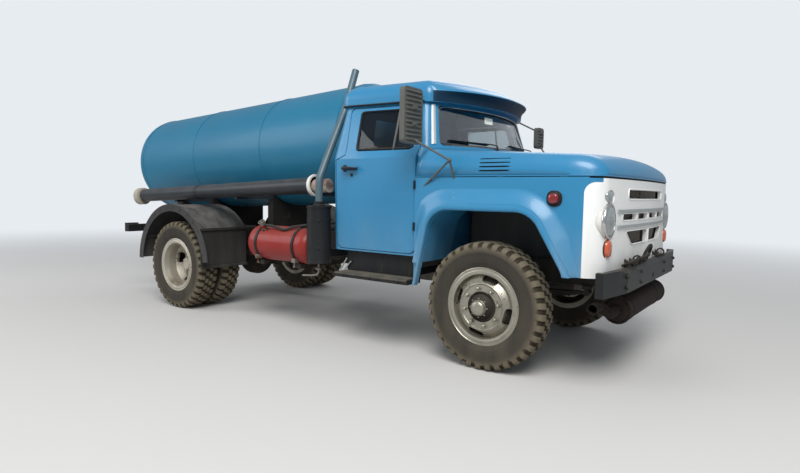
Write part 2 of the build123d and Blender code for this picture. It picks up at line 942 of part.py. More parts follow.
# Arch layer rows: inner y, outer y, width of the band round the arch
ARCH_LAYERS = (
    (lip_inner_y, lip_outer_y, arch_lip),
    (liner_inner_y, lip_inner_y, liner_thickness),
)
with BuildPart() as front_wings:
    with BuildSketch(Plane.XY.offset(arch_tail_z)):
        add(nose_plan(0, bonnet_side_rear_x))
        add(nose_plan(skin, bonnet_side_rear_x), mode=Mode.SUBTRACT)
        with Locations((wing_rear_x, wing_half), (wing_rear_x, skin - wing_half)):
            Rectangle(wing_strip, skin, align=(Align.MIN, Align.MAX))
        with Locations((wing_front_x - seat_gap, 0)):
            Rectangle(wheelbase, wheelbase, align=(Align.MIN, Align.CENTER), mode=Mode.SUBTRACT)
    extrude(amount=wing_top_z - arch_tail_z)
    extrude(arch_outline(0), amount=wheelbase, both=True, mode=Mode.SUBTRACT)
    with Locations((front_axle_x, 0, nose_bottom_z)):
        Box(wheelbase, wheelbase, wheelbase, align=(Align.MIN, Align.CENTER, Align.MAX), mode=Mode.SUBTRACT)
    for name, side in SIDES:
        for inner_y, outer_y, band in ARCH_LAYERS:
            with BuildSketch(Plane.XZ.offset(-side * (inner_y + outer_y) / 2)):
                add(arch_outline(band))
                add(arch_outline(0), mode=Mode.SUBTRACT)
                with Locations((front_axle_x, nose_bottom_z)):
                    Rectangle(2 * wheelbase, wheelbase, align=(Align.CENTER, Align.MIN), mode=Mode.INTERSECT)
            extrude(amount=(outer_y - inner_y) / 2, both=True)
        for place in BONNET_RESTS:
            rest_x = front_axle_x + place
            with Locations((rest_x, side * (side_half(rest_x) - skin / 2), wing_top_z)):
                Box(rest_length, skin / 2, bonnet_bottom_z - seat_gap - wing_top_z,
                    align=(Align.CENTER, Align.CENTER, Align.MIN))
save(front_wings.part, "front_wings")

# Frame: two channel rails, cross members, bumper horns, engine mounts and spring hangers
# Cross member rows: place ahead of the front axle
CROSS_MEMBERS = (640.0, -1500.0, -2600.0, -3420.0, -4200.0, -4900.0)
# Hanger rows: the spring's middle x, spring length, height of the eye's middle
HANGERS = (
    (front_axle_x, front_spring_length, front_eye_z),
    (rear_axle_x, rear_spring_length, rear_eye_z),
)
# Engine mount rows: place ahead of the front axle, half width of the block there
MOUNTS = ((250.0, engine_half), (-1050.0, gearbox_half))
with BuildPart() as frame:
    for name, side in SIDES:
        with BuildSketch(Plane.YZ.offset(frame_rear_x)):
            with Locations((side * (rail_outer - rail_flange / 2), frame_top - rail_height / 2)):
                Rectangle(rail_flange, rail_height)
            with Locations((side * (rail_outer - rail_wall - rail_flange / 2), frame_top - rail_height / 2)):
                Rectangle(rail_flange, rail_height - 2 * rail_wall, mode=Mode.SUBTRACT)
        extrude(amount=frame_front_x - frame_rear_x)
        with Locations(((horn_rear_x + horn_front_x) / 2, side * horn_y, horn_z)):
            Box(horn_front_x - horn_rear_x, rail_flange, horn_height)
        for middle, length, eye_z in HANGERS:
            hanger_height = rail_bottom - eye_z - spring_eye_radius - seat_gap
            with Locations((middle - length / 2, side * spring_y, rail_bottom - hanger_height / 2)):
                Box(hanger_length, spring_width, hanger_height)
            with Locations((middle + length / 2, side * spring_y, rail_bottom - hanger_height / 2)):
                Box(hanger_length, spring_width, hanger_height)
        for place, half in MOUNTS:
            reach = rail_outer - rail_wall - half - seat_gap
            with Locations((front_axle_x + place, side * (half + seat_gap + reach / 2), mount_z)):
                Box(cross_member_width, reach, mount_height)
    for place in CROSS_MEMBERS:
        with Locations((front_axle_x + place, 0, cross_member_z)):
            Box(cross_member_width, 2 * (rail_outer - rail_wall), cross_member_height)
save(frame.part, "frame")

# Leaf springs: four packs, each an arched bar with an eye at both ends
# Spring rows: middle x, length, seat height, thickness, height of the eye's middle
SPRINGS = (
    (front_axle_x, front_spring_length, front_spring_seat_z, front_spring_thickness, front_eye_z),
    (rear_axle_x, rear_spring_length, rear_spring_seat_z, rear_spring_thickness, rear_eye_z),
)
with BuildPart() as leaf_springs:
    for middle, length, seat_z, thickness, eye_z in SPRINGS:
        low_z = seat_z + seat_gap
        rear_x = middle - length / 2
        front_x = middle + length / 2
        for name, side in SIDES:
            with BuildSketch(Plane.XZ.offset(-side * spring_y)):
                with BuildLine():
                    ThreePointArc(
                        (rear_x, eye_z - spring_tip / 2),
                        (middle, low_z),
                        (front_x, eye_z - spring_tip / 2),
                    )
                    Line((front_x, eye_z - spring_tip / 2), (front_x, eye_z + spring_tip / 2))
                    ThreePointArc(
                        (front_x, eye_z + spring_tip / 2),
                        (middle, low_z + thickness),
                        (rear_x, eye_z + spring_tip / 2),
                    )
                    Line((rear_x, eye_z + spring_tip / 2), (rear_x, eye_z - spring_tip / 2))
                make_face()
                with Locations((rear_x, eye_z), (front_x, eye_z)):
                    Circle(spring_eye_radius)
            extrude(amount=spring_width / 2, both=True)
save(leaf_springs.part, "leaf_springs")

# Front axle: a beam with an eye for the king pin at each end
with BuildPart() as front_axle:
    with BuildSketch(Plane.YZ.offset(front_axle_x)):
        with BuildLine():
            Polyline(
                (-kingpin_y, axle_height - beam_height / 2),
                (-beam_bend_y, beam_z - beam_height / 2),
                (beam_bend_y, beam_z - beam_height / 2),
                (kingpin_y, axle_height - beam_height / 2),
                (kingpin_y, axle_height + beam_height / 2),
                (beam_bend_y, beam_z + beam_height / 2),
                (-beam_bend_y, beam_z + beam_height / 2),
                (-kingpin_y, axle_height + beam_height / 2),
                close=True,
            )
        make_face()
    extrude(amount=beam_width / 2, both=True)
    for name, side in SIDES:
        with Locations((front_axle_x, side * spring_y, (beam_z + front_spring_seat_z) / 2)):
            Box(spring_pad_length, spring_width, front_spring_seat_z - beam_z)
        with Locations((front_axle_x, side * kingpin_y, axle_height)):
            Cylinder(kingpin_eye_radius, kingpin_eye_height)
        with Locations((front_axle_x, side * (kingpin_y + kingpin_eye_radius), axle_height)):
            Box(2 * kingpin_eye_radius, 2 * kingpin_eye_radius, kingpin_eye_height * 2, mode=Mode.SUBTRACT)
        with Locations((front_axle_x, side * kingpin_y, axle_height)):
            Cylinder(kingpin_eye_radius, kingpin_eye_height)
            Cylinder(kingpin_radius + pin_gap, kingpin_eye_height * 2, mode=Mode.SUBTRACT)
save(front_axle.part, "front_axle")

# Rear axle: housing, tubes and propeller shaft
rear_shaft = Vector(gearbox_rear_x - pinion_x, 0, gearbox_z - axle_height)
with BuildPart() as rear_axle:
    with Locations((rear_axle_x, 0, axle_height)):
        Cylinder(banjo_radius, banjo_depth, rotation=(0, 90, 0))
    fillet(rear_axle.edges().filter_by(GeomType.CIRCLE), banjo_round)
    with Locations((rear_axle_x, 0, axle_height)):
        Cylinder(axle_tube_radius, 2 * axle_tube_reach, rotation=(90, 0, 0))
        Cylinder(rear_spindle_radius, 2 * rear_spindle_reach, rotation=(90, 0, 0))
    for name, side in SIDES:
        with Locations((rear_axle_x, side * spring_y, (axle_height + rear_spring_seat_z) / 2)):
            Box(spring_pad_length, spring_width, rear_spring_seat_z - axle_height)
    with Locations(((rear_axle_x + pinion_x) / 2, 0, axle_height)):
        Cylinder(pinion_radius, pinion_x - rear_axle_x, rotation=(0, 90, 0))
    with BuildSketch(Plane((pinion_x, 0, axle_height), z_dir=rear_shaft)):
        Circle(shaft_radius)
    extrude(amount=rear_shaft.length - 2 * running_gap)
    with BuildSketch(Plane((pinion_x, 0, axle_height), z_dir=rear_shaft)):
        Circle(pinion_radius)
    extrude(amount=joint_length, both=True)
save(rear_axle.part, "rear_axle")

# Engine and gearbox as one plain block
with BuildPart() as engine_block:
    with Locations(((engine_front_x + engine_rear_x) / 2, 0, (engine_bottom_z + engine_top_z) / 2)):
        Box(engine_front_x - engine_rear_x, 2 * engine_half, engine_top_z - engine_bottom_z)
    with Locations(((engine_rear_x + gearbox_rear_x) / 2, 0, gearbox_z)):
        Box(engine_rear_x - gearbox_rear_x, 2 * gearbox_half, gearbox_height)
save(engine_block.part, "engine_block")

# Radiator behind the nose, standing on the first cross member
radiator_bottom_z = cross_member_z + cross_member_height / 2 + seat_gap
with BuildPart() as radiator:
    with Locations((front_axle_x + CROSS_MEMBERS[0], 0, radiator_bottom_z)):
        Box(radiator_depth, 2 * radiator_half, radiator_height, align=(Align.CENTER, Align.CENTER, Align.MIN))
save(radiator.part, "radiator")


def steer_point(side, reach):
    """A point on the wheel's axle line, so far outboard of the king pin."""
    return (front_axle_x, side * (kingpin_y + reach), axle_height)


# Steering knuckles: fork lugs, king pin, spindle and steering arm
for name, side in SIDES:
    with BuildPart() as knuckle:
        with Locations((front_axle_x, side * kingpin_y, axle_height)):
            Cylinder(kingpin_radius, kingpin_eye_height + 2 * knuckle_lug)
        lug_z = kingpin_eye_height / 2 + pin_gap + knuckle_lug / 2
        with Locations(
            (front_axle_x, side * kingpin_y, axle_height + lug_z),
            (front_axle_x, side * kingpin_y, axle_height - lug_z),
        ):
            Cylinder(kingpin_eye_radius, knuckle_lug)
        web_reach = kingpin_eye_radius + knuckle_clearance + knuckle_web
        for height in (axle_height + lug_z, axle_height - lug_z):
            with Locations((front_axle_x, side * (kingpin_y + web_reach / 2), height)):
                Box(2 * kingpin_radius + knuckle_web, web_reach, knuckle_lug)
        with Locations((front_axle_x, side * (kingpin_y + web_reach - knuckle_web / 2), axle_height)):
            Box(2 * kingpin_radius + knuckle_web, knuckle_web, 2 * lug_z + knuckle_lug)
        spindle_y = kingpin_y + web_reach + spindle_length / 2 - knuckle_web / 2
        with Locations((front_axle_x, side * spindle_y, axle_height)):
            Cylinder(spindle_radius, spindle_length, rotation=(90, 0, 0))
        arm_z = axle_height - lug_z
        with Locations((front_axle_x - steering_arm_reach / 2, side * kingpin_y, arm_z)):
            Box(steering_arm_reach, arm_width, knuckle_lug)
        with Locations((front_axle_x - steering_arm_reach, side * kingpin_y, arm_z)):
            Cylinder(ball_joint_radius, knuckle_lug)
    save(knuckle.part, f"knuckle_{name}")

# Tie rod, below the steering arms
rod_z = axle_height - lug_z - knuckle_lug / 2 - seat_gap - ball_joint_height / 2
with BuildPart() as tie_rod:
    with Locations((front_axle_x - steering_arm_reach, 0, rod_z)):
        Cylinder(tie_rod_radius, 2 * kingpin_y, rotation=(90, 0, 0))
    for name, side in SIDES:
        with Locations((front_axle_x - steering_arm_reach, side * kingpin_y, rod_z)):
            Cylinder(ball_joint_radius, ball_joint_height)
save(tie_rod.part, "tie_rod")


def wheel_plane(x, y):
    """A plane through a wheel's middle, its Y along the wheel's axle."""
    return Plane((x, y, axle_height), x_dir=(1, 0, 0), z_dir=(0, 0, 1))


def tyre(x, y):
    """One tyre: tread, shoulders and bulging walls down to the beads."""
    bead = rim_width / 2 - rim_wall - seat_gap
    with BuildPart() as ring:
        with BuildSketch(wheel_plane(x, y)):
            with BuildLine():
                Polyline(
                    (bead_radius, -bead),
                    (rim_flange_radius + 2, -bead),
                    (rim_flange_radius + 8, -rim_width / 2 + 4),
                    (wall_radius, -tyre_width / 2),
                    (shoulder_radius, -tread_width / 2 - shoulder_drop),
                    (tyre_radius, -tread_width / 2 + shoulder_drop),
                    (tyre_radius, tread_width / 2 - shoulder_drop),
                    (shoulder_radius, tread_width / 2 + shoulder_drop),
                    (wall_radius, tyre_width / 2),
                    (rim_flange_radius + 8, rim_width / 2 - 4),
                    (rim_flange_radius + 2, bead),
                    (bead_radius, bead),
                    close=True,
                )
            make_face()
        revolve(axis=Axis((x, y, axle_height), (0, 1, 0)))
    return ring.part


def rim(x, y, offset):
    """One disc wheel: the rim's channel and the disc, whose seat lies at the offset."""
    half = rim_width / 2
    toward = 1 if offset > 0 else -1
    seat = offset - toward * disc_thickness
    with BuildPart() as wheel:
        with BuildSketch(wheel_plane(x, y)):
            with BuildLine():
                Polyline(
                    (rim_flange_radius, -half),
                    (rim_flange_radius, -half + rim_wall),
                    (bead_radius - seat_gap, -half + rim_wall),
                    (bead_radius - seat_gap, half - rim_wall),
                    (rim_flange_radius, half - rim_wall),
                    (rim_flange_radius, half),
                    (bead_radius - rim_wall, half),
                    (rim_well_radius - rim_wall, half - rim_step),
                    (rim_well_radius - rim_wall, -half + rim_step),
                    (bead_radius - rim_wall, -half),
                    close=True,
                )
            make_face()
            with BuildLine():
                Polyline(
                    (rim_well_radius, toward * disc_root),
                    (disc_knee_radius, seat),
                    (hub_radius, seat),
                    (hub_radius, offset),
                    (disc_knee_radius + disc_thickness / 2, offset),
                    (rim_well_radius, toward * (disc_root + 2 * disc_thickness)),
                    close=True,
                )
            make_face()
        revolve(axis=Axis((x, y, axle_height), (0, 1, 0)))
        with BuildSketch(Plane((x, y, axle_height), x_dir=(1, 0, 0), z_dir=(0, 1, 0))):
            with PolarLocations(hand_hole_circle, hand_hole_count, start_angle=hand_hole_turn):
                SlotOverall(hand_hole_length, hand_hole_width, rotation=90)
        extrude(amount=rim_width, both=True, mode=Mode.SUBTRACT)
    return wheel.part


# Front wheels: tyre, and the disc wheel with its hub and brake drum
for name, side in SIDES:
    middle = side * front_track / 2
    offset = side * front_disc_offset
    save(tyre(front_axle_x, middle), f"tyre_front_{name}")
    with BuildPart() as front_wheel:
        add(rim(front_axle_x, middle, offset))
        with BuildSketch(wheel_plane(front_axle_x, middle)):
            with BuildLine():
                Polyline(
                    (0, offset + side * hub_cap_reach),
                    (hub_cap_radius, offset + side * hub_cap_reach),
                    (hub_radius - hub_step, offset + side * hub_cap_reach / 3),
                    (hub_radius, offset),
                    (hub_radius, offset - side * drum_start),
                    (drum_radius, offset - side * drum_start),
                    (drum_radius, side * drum_inner),
                    (0, side * drum_inner),
                    close=True,
                )
            make_face()
        revolve(axis=Axis((front_axle_x, middle, axle_height), (0, 1, 0)))
        spindle_end = kingpin_y + web_reach + spindle_length - knuckle_web / 2
        bore_length = spindle_end + running_gap
        with Locations(((front_axle_x, side * bore_length / 2, axle_height))):
            Cylinder(spindle_radius + bearing_gap, bore_length, rotation=(90, 0, 0), mode=Mode.SUBTRACT)
    save(front_wheel.part, f"wheel_front_{name}")

# Rear twin wheels: two tyres, and two disc wheels on one hub
for name, side in SIDES:
    middle = side * rear_track / 2
    outer_y = middle + side * twin_spacing / 2
    inner_y = middle - side * twin_spacing / 2
    twin_tyres = [tyre(rear_axle_x, outer_y), tyre(rear_axle_x, inner_y)]
    save(Compound(children=twin_tyres), f"tyres_rear_{name}")
    with BuildPart() as rear_wheel:
        add(rim(rear_axle_x, outer_y, -side * twin_spacing / 2))
        add(rim(rear_axle_x, inner_y, side * twin_spacing / 2))
        with BuildSketch(wheel_plane(rear_axle_x, middle)):
            with BuildLine():
                Polyline(
                    (rear_spindle_radius + bearing_gap, side * rear_hub_reach),
                    (rear_hub_cap_radius, side * rear_hub_reach),
                    (hub_radius, side * rear_hub_step),
                    (hub_radius, side * disc_thickness),
                    (drum_radius, side * -disc_thickness),
                    (drum_radius, side * -rear_drum_reach),
                    (rear_spindle_radius + bearing_gap, side * -rear_drum_reach),
                    close=True,
                )
            make_face()
        revolve(axis=Axis((rear_axle_x, middle, axle_height), (0, 1, 0)))
        with BuildSketch(wheel_plane(rear_axle_x, middle)):
            with BuildLine():
                Polyline(
                    (0, side * rear_hub_reach),
                    (rear_hub_cap_radius, side * rear_hub_reach),
                    (rear_hub_cap_radius - disc_thickness, side * (rear_hub_reach + disc_thickness)),
                    (0, side * (rear_hub_reach + disc_thickness)),
                    close=True,
                )
            make_face()
        revolve(axis=Axis((rear_axle_x, middle, axle_height), (0, 1, 0)))
    save(rear_wheel.part, f"wheels_rear_{name}")

# The tank lies along its own plane: its first axis runs down to the rear, its second one up
tilt = radians(tank_tilt)
tank_plane = Plane(
    (tank_front_x, 0, tank_front_z),
    x_dir=(-cos(tilt), 0, -sin(tilt)),
    z_dir=(0, 1, 0),
)


def along_tank(along, up=0.0):
    """The x and z of a place given along the tank's axis and up from it."""
    x = tank_front_x - along * cos(tilt) - up * sin(tilt)
    z = tank_front_z - along * sin(tilt) + up * cos(tilt)
    return x, z


def tank_form(grow):
    """The tank's solid: a cylinder with dished ends, drawn out by the grow."""
    radius = tank_radius + grow
    dish = tank_dish + grow
    crown = (radius**2 + dish**2) / (2 * dish)
    half_turn = atan2(radius, crown - dish) / 2
    mid_up = crown * sin(half_turn)
    mid_along = dish - crown * (1 - cos(half_turn))
    with BuildPart() as form:
        with BuildSketch(tank_plane) as profile:
            with BuildLine():
                ThreePointArc((-dish, 0), (-mid_along, mid_up), (0, radius))
                Line((0, radius), (tank_length, radius))
                ThreePointArc(
                    (tank_length, radius), (tank_length + mid_along, mid_up), (tank_length + dish, 0)
                )
                Line((tank_length + dish, 0), (-dish, 0))
            make_face()
            knuckles = profile.vertices().sort_by(Axis.Y)[-2:]
            fillet(knuckles, tank_knuckle)
        revolve(axis=Axis(tank_plane.origin, tank_plane.x_dir))
    return form.part


# Tank with the neck of its rear hatch and the ears of the lid's hinge
lid_start = tank_length + tank_dish + neck_reach
lid_plane = Plane(
    (*along_tank(lid_start, hatch_up)[:1], 0, along_tank(lid_start, hatch_up)[1]),
    x_dir=(0, 1, 0),
    z_dir=tank_plane.x_dir,
)
with BuildPart() as tank:
    add(tank_form(0))
    with BuildSketch(lid_plane):
        Circle(neck_radius)
    extrude(amount=-(neck_reach + tank_dish / 2))
    for height in (-hinge_spacing / 2, hinge_spacing / 2):
        with BuildSketch(lid_plane):
            with Locations((neck_radius + hinge_reach / 2 - hinge_sink, height)):
                Rectangle(hinge_reach, hinge_width)
        extrude(amount=-neck_reach)
        with BuildSketch(lid_plane):
            with Locations((hinge_y, height)):
                Rectangle(2 * hinge_radius, hinge_width)
        extrude(amount=lid_seat + lid_thickness)
save(tank.part, "tank")

# Hatch lid: a domed disc with a middle boss and a hinge arm between the ears
with BuildPart() as hatch_lid:
    with BuildSketch(lid_plane.offset(lid_seat)):
        Circle(lid_radius)
        with Locations((hinge_y / 2, 0)):
            Rectangle(hinge_y + 2 * hinge_radius, hinge_spacing - hinge_width - 2 * hinge_gap)
    extrude(amount=lid_thickness)
    with BuildSketch(lid_plane.offset(lid_seat + lid_thickness)):
        Circle(lid_boss_radius)
    extrude(amount=lid_boss_height)
save(hatch_lid.part, "hatch_lid")

# Tank saddles on two long beams over the frame
SADDLES = (190.0, 1320.0, 2450.0, 3150.0)
with BuildPart() as tank_saddles:
    for name, side in SIDES:
        with Locations((subframe_front_x, side * (rail_outer - rail_flange / 2), frame_top + seat_gap)):
            Box(subframe_front_x - frame_rear_x, rail_flange, subframe_height,
                align=(Align.MAX, Align.CENTER, Align.MIN))
    for along in SADDLES:
        saddle_x, axis_z = along_tank(along)
        saddle_top = axis_z - tank_radius / 2
        with Locations((saddle_x, 0, saddle_top)):
            Box(saddle_width, 2 * saddle_half, saddle_top - frame_top - seat_gap * 2,
                align=(Align.CENTER, Align.CENTER, Align.MAX))
    add(tank_form(seat_gap), mode=Mode.SUBTRACT)
save(tank_saddles.part, "tank_saddles")

# Hose carriers: two tubes along the tank, each on arms from the saddles, a ring at the front
CARRIER_ARMS = SADDLES[:3]
with BuildPart() as hose_carriers:
    for name, side in SIDES:
        start_x, start_z = along_tank(carrier_front, -carrier_below_axis)
        tube_plane = Plane((start_x, side * carrier_y, start_z), x_dir=(0, 1, 0), z_dir=tank_plane.x_dir)
        with BuildSketch(tube_plane):
            Circle(carrier_radius)
        extrude(amount=carrier_length)
        with BuildSketch(tube_plane):
            Circle(carrier_ring_radius)
        extrude(amount=carrier_ring_width)
        for along in CARRIER_ARMS:
            arm_x, arm_z = along_tank(along, -carrier_below_axis - carrier_radius)
            arm_reach = carrier_y - saddle_half - seat_gap
            with Locations((arm_x, side * (saddle_half + seat_gap + arm_reach / 2), arm_z)):
                Box(saddle_width / 2, arm_reach, arm_height)
    for name, side in SIDES:
        start_x, start_z = along_tank(carrier_front, -carrier_below_axis)
        tube_plane = Plane((start_x, side * carrier_y, start_z), x_dir=(0, 1, 0), z_dir=tank_plane.x_dir)
        with BuildSketch(tube_plane):
            Circle(carrier_radius - carrier_wall)
        extrude(amount=carrier_length, mode=Mode.SUBTRACT)
save(hose_carriers.part, "hose_carriers")

# Suction hoses lying in the carriers, with a cuff at the rear
with BuildPart() as suction_hoses:
    hose_sink = carrier_radius - carrier_wall - hose_radius - seat_gap
    for name, side in SIDES:
        hose_x, hose_z = along_tank(carrier_front - hose_front_reach, -carrier_below_axis - hose_sink)
        hose_plane = Plane((hose_x, side * carrier_y, hose_z), x_dir=(0, 1, 0), z_dir=tank_plane.x_dir)
        with BuildSketch(hose_plane):
            Circle(hose_radius)
        extrude(amount=hose_front_reach + carrier_length + hose_rear_reach)
        with BuildSketch(hose_plane.offset(hose_front_reach + carrier_length + hose_rear_reach)):
            Circle(hose_cuff_radius)
        extrude(amount=-hose_cuff_length)
save(suction_hoses.part, "suction_hoses")

# Rear valve: flange, gate housing, wheel and coupling below the hatch
rear_mouth_x = along_tank(tank_length + tank_dish)[0] - mouth_reach
valve_plane = Plane((rear_mouth_x, 0, valve_z), x_dir=(0, 1, 0), z_dir=(1, 0, 0))
with BuildPart() as rear_valve:
    with BuildSketch(valve_plane):
        Circle(valve_radius)
    extrude(amount=valve_length)
    with BuildSketch(valve_plane):
        Circle(coupling_radius)
    extrude(amount=coupling_length)
    with BuildSketch(valve_plane.offset(gate_start)):
        Rectangle(2 * coupling_radius, 2 * coupling_radius)
        with Locations((0, coupling_radius)):
            Rectangle(gate_neck, gate_rise)
    extrude(amount=gate_depth)
    with BuildSketch(valve_plane):
        Circle(valve_bore)
    extrude(amount=coupling_length, mode=Mode.SUBTRACT)
    add(tank_form(seat_gap), mode=Mode.SUBTRACT)
save(rear_valve.part, "rear_valve")

# Canister and the vent pipe that rises from its top
with BuildPart() as canister:
    with Locations((canister_x, canister_y, (canister_top_z + canister_bottom_z) / 2)):
        Cylinder(canister_radius, canister_top_z - canister_bottom_z)
    fillet(canister.edges().group_by(Axis.Z)[0], canister_round)
    with Locations((canister_x, canister_y, canister_top_z - canister_rim / 2)):
        Cylinder(canister_radius + canister_rim / 2, canister_rim)
    bracket_reach = -canister_y - rail_outer - seat_gap
    with Locations((canister_x, canister_y + bracket_reach / 2, canister_arm_z)):
        Box(canister_arm_width, bracket_reach, canister_arm_height)
    with Locations((canister_x, -rail_outer - seat_gap - bracket_plate / 2, frame_top - rail_height / 2)):
        Box(bracket_length, bracket_plate, rail_height)
save(canister.part, "canister")

# Vent pipe rows: y and z of each bend behind the cab
VENT_ROUTE = (
    (canister_y, canister_top_z + seat_gap),
    (canister_y, 1450.0),
    (-880.0, 1810.0),
    (-735.0, 2080.0),
    (-575.0, 2500.0),
)
with BuildPart() as vent_pipe:
    with BuildLine():
        FilletPolyline(*[(canister_x, y, z) for y, z in VENT_ROUTE], radius=vent_bend)
    with BuildSketch(Plane((canister_x, *VENT_ROUTE[0]))):
        Circle(vent_radius)
        Circle(vent_radius - vent_wall, mode=Mode.SUBTRACT)
    sweep()
save(vent_pipe.part, "vent_pipe")

# Gas cylinder lying along the frame
with BuildPart() as gas_cylinder:
    with Locations(((gas_front_x + gas_rear_x) / 2, gas_y, gas_z)):
        Cylinder(gas_radius, gas_front_x - gas_rear_x, rotation=(0, 90, 0))
    fillet(gas_cylinder.edges().filter_by(GeomType.CIRCLE), gas_knuckle)
    with Locations((gas_rear_x + valve_inset, gas_y - gas_radius * sin(radians(valve_turn)),
                    gas_z + gas_radius * cos(radians(valve_turn)))):
        Cylinder(gas_valve_radius, gas_valve_reach, rotation=(valve_turn, 0, 0))
save(gas_cylinder.part, "gas_cylinder")

# Cradle of the gas cylinder: plates on the rail, arms below, straps around
with BuildPart() as gas_cradle:
    for place in (gas_rear_x + strap_inset, gas_front_x - strap_inset):
        cradle_top = gas_z - gas_radius - seat_gap
        cradle_reach = -gas_y - rail_outer - seat_gap + gas_radius / 2
        with Locations((place, -rail_outer - seat_gap - cradle_reach / 2, cradle_top - cradle_height / 2)):
            Box(cradle_width, cradle_reach, cradle_height)
        cradle_bottom = cradle_top - cradle_height
        plate_y = -rail_outer - seat_gap - bracket_plate / 2
        with Locations((place, plate_y, (cradle_bottom + frame_top) / 2)):
            Box(cradle_width, bracket_plate, frame_top - cradle_bottom)
        with BuildSketch(Plane.YZ.offset(place)):
            with Locations((gas_y, gas_z)):
                Circle(gas_radius + seat_gap + strap_thickness)
                Circle(gas_radius + seat_gap, mode=Mode.SUBTRACT)
        extrude(amount=strap_width / 2, both=True)
save(gas_cradle.part, "gas_cradle")

# Fuel tank on the far side, on two arms
with BuildPart() as fuel_tank:
    with Locations((fuel_x, fuel_y, fuel_z)):
        Box(fuel_length, fuel_width, fuel_height)
    fillet(fuel_tank.edges().filter_by(Axis.X), fuel_round)
    with Locations((fuel_x, fuel_y, fuel_z + fuel_height / 2 + fuel_cap_height / 2)):
        Cylinder(fuel_cap_radius, fuel_cap_height)
    for place in (-fuel_length / 3, fuel_length / 3):
        arm_reach = fuel_y - rail_outer - seat_gap
        with Locations((fuel_x + place, rail_outer + seat_gap + arm_reach / 2, fuel_z - fuel_height / 4)):
            Box(cradle_width, arm_reach, cradle_height)
        plate_y = rail_outer + seat_gap + bracket_plate / 2
        plate_bottom_z = fuel_z - fuel_height / 4 - cradle_height / 2
        with Locations((fuel_x + place, plate_y, (frame_top + plate_bottom_z) / 2)):
            Box(cradle_width, bracket_plate, frame_top - plate_bottom_z)
save(fuel_tank.part, "fuel_tank")

# Vacuum pump on the far side, with its line across to the canister
with BuildPart() as vacuum_pump:
    with Locations((canister_x, pump_y, pump_z)):
        Cylinder(pump_radius, pump_length, rotation=(90, 0, 0))
    for place in (-pump_length / 2, pump_length / 2):
        with Locations((canister_x, pump_y + place, pump_z)):
            Cylinder(pump_radius + pump_flange, pump_flange, rotation=(90, 0, 0))
    pump_foot_z = frame_top + seat_gap
    with Locations((canister_x, (rail_outer + pump_y) / 2, (pump_z + pump_foot_z) / 2)):
        Box(bracket_length, pump_y - rail_outer + 2 * bracket_plate, pump_z - pump_foot_z)
    line_start = canister_y + canister_radius + seat_gap
    with Locations((canister_x, (line_start + pump_y) / 2, pump_line_z)):
        Cylinder(pump_line_radius, pump_y - line_start, rotation=(90, 0, 0))
save(vacuum_pump.part, "vacuum_pump")

# Rear wheel guards: an arched sheet, a skirt ring outside with a bead, and arms from the frame
guard_center_z = axle_height + guard_lift


def guard_point(angle, reach):
    """A place about the rear axle: the angle above the front level and the distance."""
    return rear_axle_x + reach * cos(radians(angle)), guard_center_z + reach * sin(radians(angle))


def guard_sector(plane, outer, inner, start, end):
    """A ring sector about the rear axle, from one angle to another above the front level."""
    reach = 2 * guard_radius
    with BuildSketch(plane) as sector:
        with Locations((rear_axle_x, guard_center_z)):
            Circle(outer)
            Circle(inner, mode=Mode.SUBTRACT)
        middle = (start + end) / 2
        with BuildLine():
            Polyline(
                (rear_axle_x, guard_center_z),
                guard_point(start, reach),
                guard_point(middle, 2 * reach),
                guard_point(end, reach),
                close=True,
            )
        make_face(mode=Mode.INTERSECT)
    return sector.sketch


with BuildPart() as rear_guards:
    for name, side in SIDES:
        sheet_plane = Plane.XZ.offset(-side * guard_inner_y)
        extrude(
            guard_sector(sheet_plane, guard_radius, guard_radius - guard_thickness,
                         guard_sheet_angle, guard_rear_angle),
            amount=-side * (guard_outer_y - guard_inner_y),
        )
        skirt_plane = Plane.XZ.offset(-side * guard_outer_y)
        extrude(
            guard_sector(skirt_plane, guard_radius, guard_radius - guard_skirt,
                         guard_front_angle, guard_rear_angle),
            amount=side * guard_thickness,
        )
        extrude(
            guard_sector(skirt_plane, guard_radius + guard_bead / 2, guard_radius - guard_bead / 2,
                         guard_front_angle, guard_rear_angle),
            amount=side * guard_bead,
        )
        for angle in guard_arm_angles:
            arm_radius = guard_radius - guard_thickness - guard_arm_radius / 2
            arm_x, arm_z = guard_point(angle, arm_radius)
            arm_reach = guard_outer_y - guard_bead - rail_outer - seat_gap
            with Locations((arm_x, side * (rail_outer + seat_gap + arm_reach / 2), arm_z)):
                Cylinder(guard_arm_radius, arm_reach, rotation=(90, 0, 0))
save(rear_guards.part, "rear_guards")

# Mud flaps hanging from the front ends of the guards
flap_x = rear_axle_x + guard_radius * cos(radians(guard_sheet_angle)) + flap_thickness / 2 + seat_gap
flap_top_z = guard_center_z + guard_radius * sin(radians(guard_sheet_angle)) + flap_bar / 2
with BuildPart() as mud_flaps:
    for name, side in SIDES:
        flap_y = side * (guard_inner_y + guard_outer_y - guard_bead) / 2
        flap_width = guard_outer_y - guard_bead - guard_inner_y - 2 * door_gap
        with Locations((flap_x, flap_y, (flap_top_z + flap_bottom_z) / 2)):
            Box(flap_thickness, flap_width, flap_top_z - flap_bottom_z)
        with Locations((flap_x + flap_bar / 2, flap_y, flap_bottom_z + flap_bar / 2)):
            Box(flap_bar, flap_width, flap_bar)
        with Locations((flap_x + flap_bar / 2, flap_y, flap_top_z - flap_bar / 2)):
            Box(flap_bar, flap_width, flap_bar)
save(mud_flaps.part, "mud_flaps")

